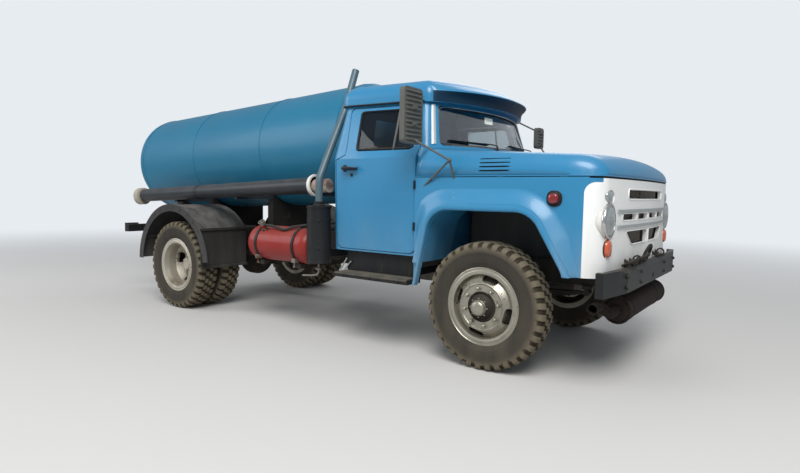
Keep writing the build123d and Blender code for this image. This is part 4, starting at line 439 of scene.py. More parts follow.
class Shape:
    """Gathers numpy grids into one mesh, with a material slot for each grid."""

    def __init__(self) -> None:
        """Start empty."""
        self.points: list[Array] = []
        self.faces: list[Array] = []
        self.slots: list[Array] = []
        self.values: list[Array] = []
        self.count = 0

    def add(self, points: Array, faces: Sequence[Array], slot: int = 0,
            values: Optional[Array] = None) -> None:
        """Add points and their faces.

        Args:
            points: Places, one row each.
            faces: Arrays of corner numbers, each of one corner count.
            slot: The material slot.
            values: A number for each point, kept as the mesh's attribute.
        """
        points = np.asarray(points, float).reshape(-1, 3)
        for block in faces:
            self.faces.append(np.asarray(block, int) + self.count)
            self.slots.append(np.full(len(block), slot))
        self.points.append(points)
        self.values.append(np.zeros(len(points)) if values is None else np.asarray(values, float).ravel())
        self.count += len(points)

    def grid(self, points: Array, wrap_u: bool = False, wrap_v: bool = False, slot: int = 0,
             values: Optional[Array] = None) -> None:
        """Add a sheet of quads over a grid of points.

        Args:
            points: An array of u by v by 3.
            wrap_u: Whether the last row joins the first.
            wrap_v: Whether the last column joins the first.
            slot: The material slot.
            values: A number for each point.
        """
        points = np.asarray(points, float)
        rows, columns = points.shape[:2]
        index = np.arange(rows * columns).reshape(rows, columns)
        u = np.arange(rows if wrap_u else rows - 1)
        v = np.arange(columns if wrap_v else columns - 1)
        a = index[np.ix_(u, v)]
        b = index[np.ix_((u + 1) % rows, v)]
        c = index[np.ix_((u + 1) % rows, (v + 1) % columns)]
        d = index[np.ix_(u, (v + 1) % columns)]
        self.add(points, [np.stack([a, b, c, d], -1).reshape(-1, 4)], slot, values)

    def fan(self, ring: Array, slot: int = 0) -> None:
        """Close a ring of points with a fan about its middle."""
        count = len(ring)
        index = np.arange(count)
        triangles = np.stack([index, (index + 1) % count, np.full(count, count)], -1)
        self.add(np.vstack([ring, ring.mean(0)]), [triangles], slot)

    def slab(self, points: Array, offset: Point, slot: int = 0) -> None:
        """Add a closed plate: the grid, the same grid moved by the offset, and the rim between them.

        Args:
            points: An array of u by v by 3.
            offset: The move from one face to the other.
            slot: The material slot.
        """
        points = np.asarray(points, float)
        other = points + offset
        self.grid(points, slot=slot)
        self.grid(other, slot=slot)
        for rim in ((slice(None), 0), (slice(None), -1), 0, -1):
            self.grid(np.stack([points[rim], other[rim]], 1), slot=slot)

    def revolve(self, profile: Profile, middle: Point, axis: Point = (0, 1, 0),
                segments: int = 64, slot: int = 0) -> None:
        """Turn a profile of (radius, height along the axis) about an axis; ends at radius 0 close.

        Args:
            profile: The rows of the profile.
            middle: The axis's point at height 0.
            axis: The axis's direction.
            segments: Steps of the turn.
            slot: The material slot.
        """
        profile = np.asarray(profile, float)
        normal = unit(np.asarray(axis, float))
        across = unit(np.cross(normal, (0, 0, 1) if abs(normal[2]) < 0.9 else (1, 0, 0)))
        other = np.cross(normal, across)
        turn = full_turn(segments)
        ring = np.cos(turn)[:, None] * across + np.sin(turn)[:, None] * other
        points = (np.asarray(middle, float) + profile[None, :, 1, None] * normal
                  + profile[None, :, 0, None] * ring[:, None, :])
        self.grid(points, wrap_u=True, slot=slot)

    def hoop(self, profile: Profile, middle: Point, axis: Point, segments: int = 64,
             slot: int = 0) -> None:
        """Turn a profile that closes on itself about an axis."""
        self.revolve([*profile, profile[0]], middle, axis, segments, slot)

    def tube(self, path: Array, radius: object, sides: int = 12, slot: int = 0, closed: bool = False) -> None:
        """Carry a circle along a path, turned as little as can be from point to point.

        Args:
            path: The points of the middle line.
            radius: One radius, or one for each point.
            sides: Sides of the circle.
            slot: The material slot.
            closed: Whether the path joins its own start; otherwise its ends are capped.
        """
        path = np.asarray(path, float)
        if closed:
            tangent = np.roll(path, -1, 0) - np.roll(path, 1, 0)
        else:
            tangent = np.gradient(path, axis=0)
        tangent /= np.linalg.norm(tangent, axis=1)[:, None]
        frames = [unit(np.cross(tangent[0], (0, 0, 1) if abs(tangent[0][2]) < 0.9 else (1, 0, 0)))]
        for step in tangent[1:]:
            frames.append(unit(frames[-1] - step * (frames[-1] @ step)))
        across = np.array(frames)
        other = np.cross(tangent, across)
        turn = full_turn(sides)[None, :, None]
        radius = np.broadcast_to(np.asarray(radius, float), (len(path),))
        ring = np.cos(turn) * across[:, None, :] + np.sin(turn) * other[:, None, :]
        points = path[:, None, :] + radius[:, None, None] * ring
        self.grid(points, wrap_u=closed, wrap_v=True, slot=slot)
        if not closed:
            self.fan(points[0], slot)
            self.fan(points[-1], slot)

    def block(self, low: Point, high: Point, slot: int = 0) -> None:
        """Add a box between two corners; its edges are rounded by the piece's bevel."""
        corners = np.array([[x, y, z] for x in (low[0], high[0]) for y in (low[1], high[1])
                            for z in (low[2], high[2])])
        faces = np.array([[0, 1, 3, 2], [4, 6, 7, 5], [0, 4, 5, 1], [2, 3, 7, 6], [0, 2, 6, 4], [1, 5, 7, 3]])
        self.add(corners, [faces], slot)

    def prism(self, outline: Array, offset: Point, slot: int = 0) -> None:
        """Carry a closed outline of points along an offset and close both ends with fans."""
        far = outline + np.asarray(offset, float)
        self.grid(np.stack([outline, far], 1), wrap_u=True, slot=slot)
        self.fan(outline, slot)
        self.fan(far, slot)

    def build(self, name: str, finishes: Sequence[object], slot: str, body: str = "chassis",
              bevel: float = 0.0, smooth: float = 50.0, solid: float = 0.0,
              attribute: str = "") -> bpy.types.Object:
        """Make the mesh object, ride it on its body and dress it.

        Args:
            name: The piece's name.
            finishes: A finish for each material slot.
            slot: The record's material slot; not used.
            body: The body that it rides on.
            bevel: The width of rounded edges, or 0.
            smooth: The angle in degrees above which an edge stays sharp.
            solid: The thickness given to a sheet, or 0.
            attribute: The name under which the points' values are kept.

        Returns:
            The object.
        """
        mesh = bpy.data.meshes.new(name)
        points = np.vstack(self.points)
        quads_first = sorted(zip(self.faces, self.slots), key=lambda pair: -pair[0].shape[1])
        corners = np.concatenate([faces.ravel() for faces, _ in quads_first])
        sizes = np.concatenate([np.full(len(faces), faces.shape[1]) for faces, _ in quads_first])
        slots = np.concatenate([slots for _, slots in quads_first])
        mesh.vertices.add(len(points))
        mesh.vertices.foreach_set("co", points.astype(np.float32).ravel())
        mesh.loops.add(len(corners))
        mesh.loops.foreach_set("vertex_index", corners.astype(np.int32))
        mesh.polygons.add(len(sizes))
        mesh.polygons.foreach_set("loop_start", (np.cumsum(sizes) - sizes).astype(np.int32))
        mesh.polygons.foreach_set("material_index", slots.astype(np.int32))
        mesh.update(calc_edges=True)
        mesh.validate()
        if attribute:
            kept = mesh.attributes.new(attribute, "FLOAT", "POINT")
            kept.data.foreach_set("value", np.concatenate(self.values).astype(np.float32))
        tidy_mesh(mesh)
        mesh.polygons.foreach_set("use_smooth", np.ones(len(mesh.polygons), bool))
        mesh.set_sharp_from_angle(angle=radians(smooth))
        made = show(name, mesh)
        for finish in finishes:
            mesh.materials.append(finish.material())
        if solid:
            with_settings(made.modifiers.new("thickness", "SOLIDIFY"), thickness=solid, offset=-1.0)
        if bevel:
            with_settings(made.modifiers.new("edges", "BEVEL"), width=bevel, segments=2, limit_method="ANGLE",
                          angle_limit=radians(40), harden_normals=True)
        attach(made, body)
        LOG.info("piece %s rides on %s", name, body)
        return made


def tidy_mesh(mesh: bpy.types.Mesh) -> None:
    """Merge doubled points, drop flat faces and turn the faces outwards."""
    work = bmesh.new()
    work.from_mesh(mesh)
    bmesh.ops.remove_doubles(work, verts=work.verts, dist=1e-5)
    bmesh.ops.dissolve_degenerate(work, edges=work.edges, dist=1e-6)
    bmesh.ops.recalc_face_normals(work, faces=work.faces)
    work.to_mesh(mesh)
    work.free()


def places(x: object, y: object, z: object) -> Array:
    """Points from three coordinates, each an array or one number for all."""
    return np.stack(np.broadcast_arrays(*(np.asarray(part, float) for part in (x, y, z))), -1)


def unit(vector: Array) -> Array:
    """A vector brought to the length one."""
    return vector / np.linalg.norm(vector)


def full_turn(count: int) -> Array:
    """Angles evenly spread over a full turn."""
    return np.linspace(0, 2 * pi, count, endpoint=False)


def circle(count: int, radius: float, start: float = 0.0) -> Profile:
    """Evenly spread places on a circle as pairs of its cosine and its sine part."""
    return [(radius * cos(turn), radius * sin(turn)) for turn in np.arange(count) * 2 * pi / count + start]


def band(inner: float, outer: float, low: float, high: float) -> Profile:
    """A rectangle as a profile, from its inner and outer radius and its two ends."""
    return [(inner, low), (outer, low), (outer, high), (inner, high)]


def squared(wave: Array, power: float) -> Array:
    """Square off a sine or a cosine by a power below one."""
    return np.sign(wave) * np.abs(wave) ** power


def rounded_path(points: Sequence[Point], radius: float, steps: int = 6) -> Array:
    """A line of points whose corners are turned into arcs of a radius.

    Each corner is replaced by points of a quadratic curve between the places where the arc starts.

    Args:
        points: The corners.
        radius: How far from the corner the turn starts at most.
        steps: Points in a turn.

    Returns:
        The path's points.
    """
    corners = [np.asarray(p, float) for p in points]
    made = [corners[0]]
    for before, here, after in zip(corners, corners[1:], corners[2:]):
        back, ahead = before - here, after - here
        reach = min(radius, np.linalg.norm(back) * 0.49, np.linalg.norm(ahead) * 0.49)
        start, end = here + unit(back) * reach, here + unit(ahead) * reach
        share = np.linspace(0, 1, steps)[:, None]
        made.extend((1 - share) ** 2 * start + 2 * share * (1 - share) * here + share**2 * end)
    made.append(corners[-1])
    return np.array(made)


def lengths(path: Array) -> Array:
    """The way along a line from its start to each of its points."""
    return np.concatenate([[0], np.cumsum(np.linalg.norm(np.diff(path, axis=0), axis=1))])


def spread(path: Array, at: Array) -> Array:
    """The points of a line at such ways from its start."""
    return np.stack([np.interp(at, lengths(path), row) for row in path.T], -1)


def dense(path: Array, step: float) -> Array:
    """Points spread evenly along a line of points, about a step apart."""
    whole = lengths(path)[-1]
    return spread(path, np.linspace(0, whole, max(int(whole / step) + 1, 2)))


def curve_through(points: Sequence[Sequence[float]], count: int) -> Array:
    """A smooth line through points: a Catmull-Rom curve resampled evenly.

    Args:
        points: The points that it passes.
        count: How many points it is given.

    Returns:
        The line's points.
    """
    p = np.asarray(points, float)
    p = np.vstack([2 * p[0] - p[1], p, 2 * p[-1] - p[-2]])
    t = np.linspace(0, 1, 12, endpoint=False)[:, None]
    runs = []
    for a, b, c, d in zip(p, p[1:], p[2:], p[3:]):
        runs.append(0.5 * (2 * b + (c - a) * t + (2 * a - 5 * b + 4 * c - d) * t**2
                           + (3 * b - a - 3 * c + d) * t**3))
    line = np.vstack([*runs, p[-2][None]])
    return spread(line, np.linspace(0, lengths(line)[-1], count))


def nose_front(y: object) -> Array:
    """The nose's front in plan, an arc from one side to the other."""
    rise = NOSE_TIP - NOSE_SIDE
    radius = (HALF_AT_NOSE**2 + rise**2) / (2 * rise)
    return NOSE_TIP - radius + np.sqrt(radius**2 - np.minimum(np.abs(y), 1.04) ** 2)


def side_half(x: Array) -> Array:
    """Half the width over the wings at a place along the truck."""
    share = (np.asarray(x) - WING_REAR) / (NOSE_SIDE - WING_REAR)
    return HALF_AT_REAR + share * (HALF_AT_NOSE - HALF_AT_REAR)


# Camera, light and floor


@dataclass
class Studio:
    """The plain floor, the soft lamps and the camera at the photograph's place."""

    eye: Point = (4.3599, -4.7209, 1.3283)
    yaw: float = 0.6317
    pitch: float = -0.0763
    roll: float = 0.0155
    lens: float = 25.14
    floor_half: float = 60.0
    floor_colour: Colour = (0.58, 0.565, 0.54)
    fade: Pair = (3.5, 17.0)
    sky_colour: Colour = (0.86, 0.92, 1.0)
    sky: float = 0.45
    key: float = 1050.0
    backdrop: Colour = (0.8, 0.84, 0.88)

    def camera(self) -> None:
        """Place the camera: forward from yaw and pitch, then turned by the roll."""
        forward = Vector((-sin(self.yaw) * cos(self.pitch), cos(self.yaw) * cos(self.pitch), sin(self.pitch)))
        level = forward.cross(Vector((0, 0, 1))).normalized()
        above = level.cross(forward)
        right = level * cos(self.roll) + above * sin(self.roll)
        up = above * cos(self.roll) - level * sin(self.roll)
        data = bpy.data.cameras.new("camera")
        made = show("camera", with_settings(data, lens=self.lens, sensor_width=36.0, clip_end=200.0))
        made.matrix_world = Matrix.Translation(self.eye) @ Matrix((right, up, -forward)).transposed().to_4x4()
        bpy.context.scene.camera = made

    def floor(self) -> None:
        """Lay the pale floor, which fades into the backdrop far from the truck."""
        mesh = bpy.data.meshes.new("floor")
        half = self.floor_half
        corners = [(-half, -half, 0), (half, -half, 0), (half, half, 0), (-half, half, 0)]
        mesh.from_pydata(corners, [], [(0, 1, 2, 3)])
        made = show("floor", mesh)
        material, wires, shader = new_material("floor_pale")
        wires.feed(shader, {"Base Color": (*self.floor_colour, 1), "Roughness": 0.95})
        glow = wires.add("Emission", {"Color": (*self.backdrop, 1)})
        reach = wires.add("VectorMath", {0: wires.place()}, operation="LENGTH")
        fade = wires.span(reach.outputs["Value"], *self.fade, way="SMOOTHSTEP")
        seen = wires.add("LightPath").outputs["Is Camera Ray"]
        wires.finish(wires.math("MULTIPLY", fade, seen), shader, glow)
        mesh.materials.append(material)

    def lamps(self) -> None:
        """Hang a broad key lamp high on the right and a soft fill, under an even sky."""
        for name, place, aim, size, power in (
            ("key", (5.5, -6.5, 8.5), (0, 0, 1), 6.0, self.key),
            ("fill", (-6.5, -7.0, 5.0), (-0.5, 0, 1), 6.0, self.key * 0.3),
            ("back", (-1.0, 8.5, 7.5), (0, 0, 1.2), 7.0, self.key * 0.22),
        ):
            lamp = with_settings(bpy.data.lights.new(name, "AREA"), shape="DISK", size=size, energy=power)
            turn = (Vector(aim) - Vector(place)).to_track_quat("-Z", "Y").to_euler()
            with_settings(show(name, lamp), location=place, rotation_euler=turn)
        world = bpy.data.worlds.new("sky")
        bpy.context.scene.world = world
        world.use_nodes = True
        wires = Wiring(world.node_tree)
        sky = world.node_tree.nodes["Background"]
        wires.feed(sky, {"Color": (*self.sky_colour, 1), "Strength": self.sky})
        seen = wires.add("Background", {"Color": (*self.backdrop, 1), "Strength": 1.0})
        path = wires.add("LightPath").outputs
        either = wires.math("MAXIMUM", path["Is Camera Ray"], path["Is Transmission Ray"])
        wires.finish(either, sky, seen, "World Output")

    def build(self) -> None:
        """Set up the whole studio."""
        self.camera()
        self.floor()
        self.lamps()
        bpy.context.scene.view_settings.view_transform = "Standard"


# The carried CAD nodes

CAD_FINISHES: dict[str, object] = {name: finish for finish, names in (
    (BLUE, "cab_shell door_left door_right bonnet"),
    (WHITE, "front_wings nose_panel"),
    (BARS, "grille_bars"),
    (CLEAR_LENS, "front_lamps"),
    (AMBER, "signal_lamps"),
    (BLACK, "front_bumper canister fuel_tank rear_bumper cab_steps"),
    (CHASSIS, "tow_hooks frame leaf_springs front_axle rear_axle knuckle_left knuckle_right tie_rod "
              "tank_saddles gas_cradle"),
    (CORE, "radiator"),
    (ENGINE, "engine_block vacuum_pump"),
    (SILVER, "wheel_front_left wheel_front_right"),
    (REAR_SILVER, "wheels_rear_left wheels_rear_right"),
    (TYRE, "tyre_front_left tyre_front_right tyres_rear_left tyres_rear_right"),
    (TANK_BLUE, "tank hatch_lid"),
    (CARRIER, "hose_carriers"),
    (HOSE_BEIGE, "suction_hoses"),
    (STEEL, "rear_valve"),
    (PIPE, "vent_pipe"),
    (RED, "gas_cylinder"),
    (GUARD, "rear_guards"),
    (RUBBER, "mud_flaps steering_wheel"),
    (RUST, "silencer"),
    (MIRROR, "mirror_left mirror_right"),
    (INSIDE, "dashboard seat_bases"),
    (LEATHER, "seat_cushions seat_backs"),
    (SCREEN, "cab_glass"),
    (WINDOW, "door_glass_left door_glass_right"),
) for name in names.split()}


def dress_frame() -> None:
    """Give every CAD node its finish."""
    for name, node in NODES.items():
        material = CAD_FINISHES[name].material()
        for place in range(max(len(node.material_slots), 1)):
            if not node.material_slots:
                node.data.materials.append(material)
            node.material_slots[place].material = material


# Running gear

# Tyre profile from the middle of the tread to the bead: place across and radius
TREAD_ROWS = (
    (0, 0.4905), (0.004, 0.4905), (0.006, 0.4905), (0.024, 0.4902), (0.042, 0.4895), (0.044, 0.4893),
    (0.052, 0.489), (0.054, 0.4889), (0.074, 0.4868), (0.092, 0.483), (0.104, 0.477), (0.1115, 0.468),
    (0.115, 0.456), (0.1165, 0.446), (0.1175, 0.435), (0.1178, 0.423), (0.118, 0.416), (0.1188, 0.413),
    (0.1188, 0.408), (0.118, 0.405), (0.1182, 0.385), (0.117, 0.364), (0.115, 0.348), (0.1142, 0.345),
    (0.115, 0.342), (0.112, 0.332), (0.108, 0.32), (0.104, 0.31), (0.1005, 0.301), (0.0985, 0.294),
    (0.093, 0.286), (0.088, 0.27), (0.086, 0.257),
)
GROOVES = (0, 0.004, 0.044, 0.052)
LUG_PHASES = (0, 0.045, 0.2, 0.4, 0.555, 0.6, 0.74, 0.87)
LUG_TOPS = (0, 1, 1, 1, 1, 0, 0, 0)


@dataclass(frozen=True)
class Tyre:
    """One tyre with block tread and shoulder lugs of two lengths."""

    x: float
    y: float
    lugs: int = 36
    depth: float = 0.0135

    def add_to(self, shape: Shape) -> None:
        """Add the tyre to a shape.

        The radius falls by the tread's depth in the grooves: between the lugs, along the middle and
        between the rows. The middle rows turn half a lug ahead of the shoulders, so the flanks slant.

        Args:
            shape: The shape that takes the tyre.
        """
        rows = np.array(TREAD_ROWS)
        across, radius = np.vstack([rows[:0:-1] * (-1, 1), rows]).T
        far = np.abs(across)
        phases = (np.arange(self.lugs)[:, None] + np.array(LUG_PHASES)).ravel()
        top = np.tile(LUG_TOPS, self.lugs)
        long_lug = np.repeat(np.arange(self.lugs) % 2, len(LUG_PHASES))
        reach = np.where(long_lug == 1, 0.432, 0.45)[:, None]
        lug_zone = (radius[None, :] > 0.47) | (radius[None, :] > reach)
        middle_zone = far < 0.05
        in_lug = (1 - top)[:, None] * lug_zone
        fall = np.where(radius > 0.47, 1.0, np.clip((radius - 0.425) / 0.045, 0.0, 1.0))
        out = np.maximum(in_lug * fall, np.isin(far, GROOVES)[None, :])
        shift = np.interp(far, [0.0, 0.043, 0.054, 0.12], [0.62, 0.5, 0.12, 0.0])
        shift = np.where(across < 0, 0.5 - shift, shift)
        turn = (phases[:, None] + np.where(far < 0.2, shift, 0)[None, :]) * 2 * pi / self.lugs
        deep = radius[None, :] - self.depth * out * np.where(middle_zone, 0.85, 1.0)
        inward = across[None, :] - np.sign(across) * 0.006 * in_lug * (radius[None, :] < 0.48) * fall
        points = places(self.x + deep * np.cos(turn), self.y + inward, AXLE_HEIGHT + deep * np.sin(turn))
        # The groove values also mark where the tread is painted dark as shade.
        shape.grid(points, wrap_u=True, values=out)


@dataclass
class Wheels:
    """All tyres, and the nuts, rings and hub details of the wheels."""

    front_track: float = 1.8
    rear_track: float = 1.79
    twin: float = 0.3
    disc_out: float = 0.104
    ring_out: float = 0.098
    nut_circle: float = 0.142
    hub_circles: Pair = (0.07, 0.06)

    def tyres(self) -> None:
        """Put a treaded tyre over each plain one."""
        for side, name in SIDE_NAMES.items():
            single = [(FRONT_AXLE, side * self.front_track / 2)]
            twins = [(REAR_AXLE, side * (self.rear_track + way * self.twin) / 2) for way in (-1, 1)]
            for end, more, middles in (("front", "", single), ("rear", "s", twins)):
                shape = Shape()
                for x, y in middles:
                    Tyre(x, y).add_to(shape)
                made = shape.build(f"tread_{end}_{name}", [TYRE], "tyre_rubber", f"{end}_wheel{more}_{name}",
                                   attribute="groove", smooth=28)
                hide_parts(f"tyre{more}_{end}_{name}")

    def nut(self, shape: Shape, x: float, y: float, z: float, side: float, size: float) -> None:
        """A hexagon nut with a domed end on a washer, facing sideways."""
        turn = full_turn(6) + 0.3
        shape.prism(places(x + size * np.cos(turn), y, z + size * np.sin(turn)), (0, side * size * 0.95, 0))
        dome = [(size * 0.86, 0.9 * size), (size * 0.82, 1.25 * size), (size * 0.55, 1.6 * size),
                (0, 1.75 * size)]
        shape.revolve(band(0, size * 1.25, 0, 0.14 * size), (x, y, z), (0, side, 0), 18)
        shape.revolve([(0, 0.5 * size), *dome], (x, y, z), (0, side, 0), 14)

    def nuts(self, shape: Shape, x: float, y: float, side: float, radius: float, start: float,
             size: float) -> None:
        """Eight nuts on a circle about an axle."""
        for across, rise in circle(8, radius, start):
            self.nut(shape, x + across, y, AXLE_HEIGHT + rise, side, size)

    def ring(self, shape: Shape, x: float, y: float, side: float) -> None:
        """The rolled flange, the lock ring and the split groove of one rim, from the side that is seen."""
        lip = [(0.286, -0.006), (0.289, 0), (0.2935, 0.0035), (0.298, 0.0015), (0.3, -0.004),
               (0.298, -0.01), (0.2925, -0.012), (0.287, -0.01)]
        lock = [(0.25, -0.012), (0.252, 0), (0.259, 0.0042), (0.271, 0.0048), (0.2765, 0.0015),
                (0.2785, -0.006), (0.2765, -0.014), (0.262, -0.018)]
        for profile in (lip, lock):
            shape.hoop(profile, (x, y, AXLE_HEIGHT), (0, side, 0), 96)

    def front(self, side: float, name: str) -> None:
        """Nuts, rings and hub details of one front wheel."""
        middle = side * self.front_track / 2
        face = middle + side * self.disc_out
        axis = (0, side, 0)
        shape = Shape()
        self.ring(shape, FRONT_AXLE, middle + side * self.ring_out, side)
        bead = [(0.166, -0.002), (0.17, 0.004), (0.176, 0.0065), (0.182, 0.004), (0.187, -0.004),
                (0.176, -0.006)]
        shape.hoop(bead, (FRONT_AXLE, face, AXLE_HEIGHT), axis, 96)
        sleeve = [(0.118, -0.001), (0.114, 0.003), (0.0955, 0.003), (0.087, 0.0265), (0.063, 0.0535),
                  (0.06, 0.05), (0.083, 0.0225), (0.091, -0.001)]
        shape.hoop(sleeve, (FRONT_AXLE, face, AXLE_HEIGHT), axis, 72, 1)
        # The sleeve above takes the same black; this cone stands behind the hand holes as painted shade.
        shade = [(0.238, 0.012), (0.176, 0.074), (0.174, 0.072), (0.236, 0.01)]
        shape.hoop(shade, (FRONT_AXLE, middle, AXLE_HEIGHT), axis, 72, 1)
        cap = [(0, 0.055), (0.058, 0.055), (0.0575, 0.066), (0.052, 0.077), (0.038, 0.0845), (0.018, 0.088),
               (0, 0.0885)]
        shape.revolve(cap, (FRONT_AXLE, face, AXLE_HEIGHT), axis, 48)
        self.nuts(shape, FRONT_AXLE, face, side, self.nut_circle, 0.2, 0.0175)
        self.nuts(shape, FRONT_AXLE, face + side * 0.046, side, self.hub_circles[0], 0.0, 0.0055)
        body = f"front_wheel_{name}"
        shape.build(f"wheel_trim_front_{name}", [SILVER, SHADE_BLACK], "wheel_silver", body, smooth=40)

    def rear(self, side: float, name: str) -> None:
        """Nuts and rings of one pair of rear wheels."""
        middle = side * self.rear_track / 2
        outer = middle + side * self.twin / 2
        shape = Shape()
        self.ring(shape, REAR_AXLE, outer + side * self.ring_out, side)
        self.nuts(shape, REAR_AXLE, middle + side * 0.012, side, self.nut_circle, 0.2, 0.021)
        self.nuts(shape, REAR_AXLE, middle + side * 0.118, side, self.hub_circles[1], 0.0, 0.008)
        body = f"rear_wheels_{name}"
        shape.build(f"wheel_trim_rear_{name}", [REAR_SILVER], "wheel_silver", body, smooth=40)

    def build(self) -> None:
        """Build the tyres and the wheels' details."""
        self.tyres()
        for side, name in SIDE_NAMES.items():
            self.front(side, name)
            self.rear(side, name)


# Front body


def arch_path(grow: float, count: int = 22) -> Array:
    """The front wheel arch seen from the side, drawn out by the grow, as points (x, z).

    The corners are arcs whose radius grows too, each with the same count of points at every grow.

    Args:
        grow: How far the line lies outside the opening.
        count: Points on each straight run and on each corner.

    Returns:
        The points from the arch's tail to its toe.
    """
    tail = np.array([FRONT_AXLE - 0.572 - grow, 0.6])
    rear = np.array([FRONT_AXLE - 0.44 - grow, 1.215 + grow])
    front = np.array([FRONT_AXLE + 0.39 + grow / 2, 1.215 + grow])
    toe = np.array([FRONT_AXLE + 0.64 + grow, 0.795])
    end = np.array([FRONT_AXLE + 0.64 + grow, 0.786])
    radius = 0.205 + grow
    share = np.linspace(0, 1, count, endpoint=False)
    runs, last = [], tail
    for before, here, after, round_by in ((tail, rear, front, radius), (rear, front, toe, radius)):
        back, ahead = unit(before - here), unit(after - here)
        half = np.arccos(np.clip(back @ ahead, -1, 1)) / 2
        reach = round_by / np.tan(half)
        centre = here + unit(back + ahead) * (round_by / np.sin(half))
        start, stop = here + back * reach, here + ahead * reach
        runs.append(last + (start - last) * share[:, None])
        first, final = (np.arctan2(*(q - centre)[::-1]) for q in (start, stop))
        sweep = (final - first + pi) % (2 * pi) - pi
        turn = first + sweep * share
        runs.append(centre + round_by * np.stack([np.cos(turn), np.sin(turn)], -1))
        last = stop
    runs.append(last + (toe - last) * share[:, None])
    runs.append(np.stack([toe, end]))
    return np.vstack(runs)


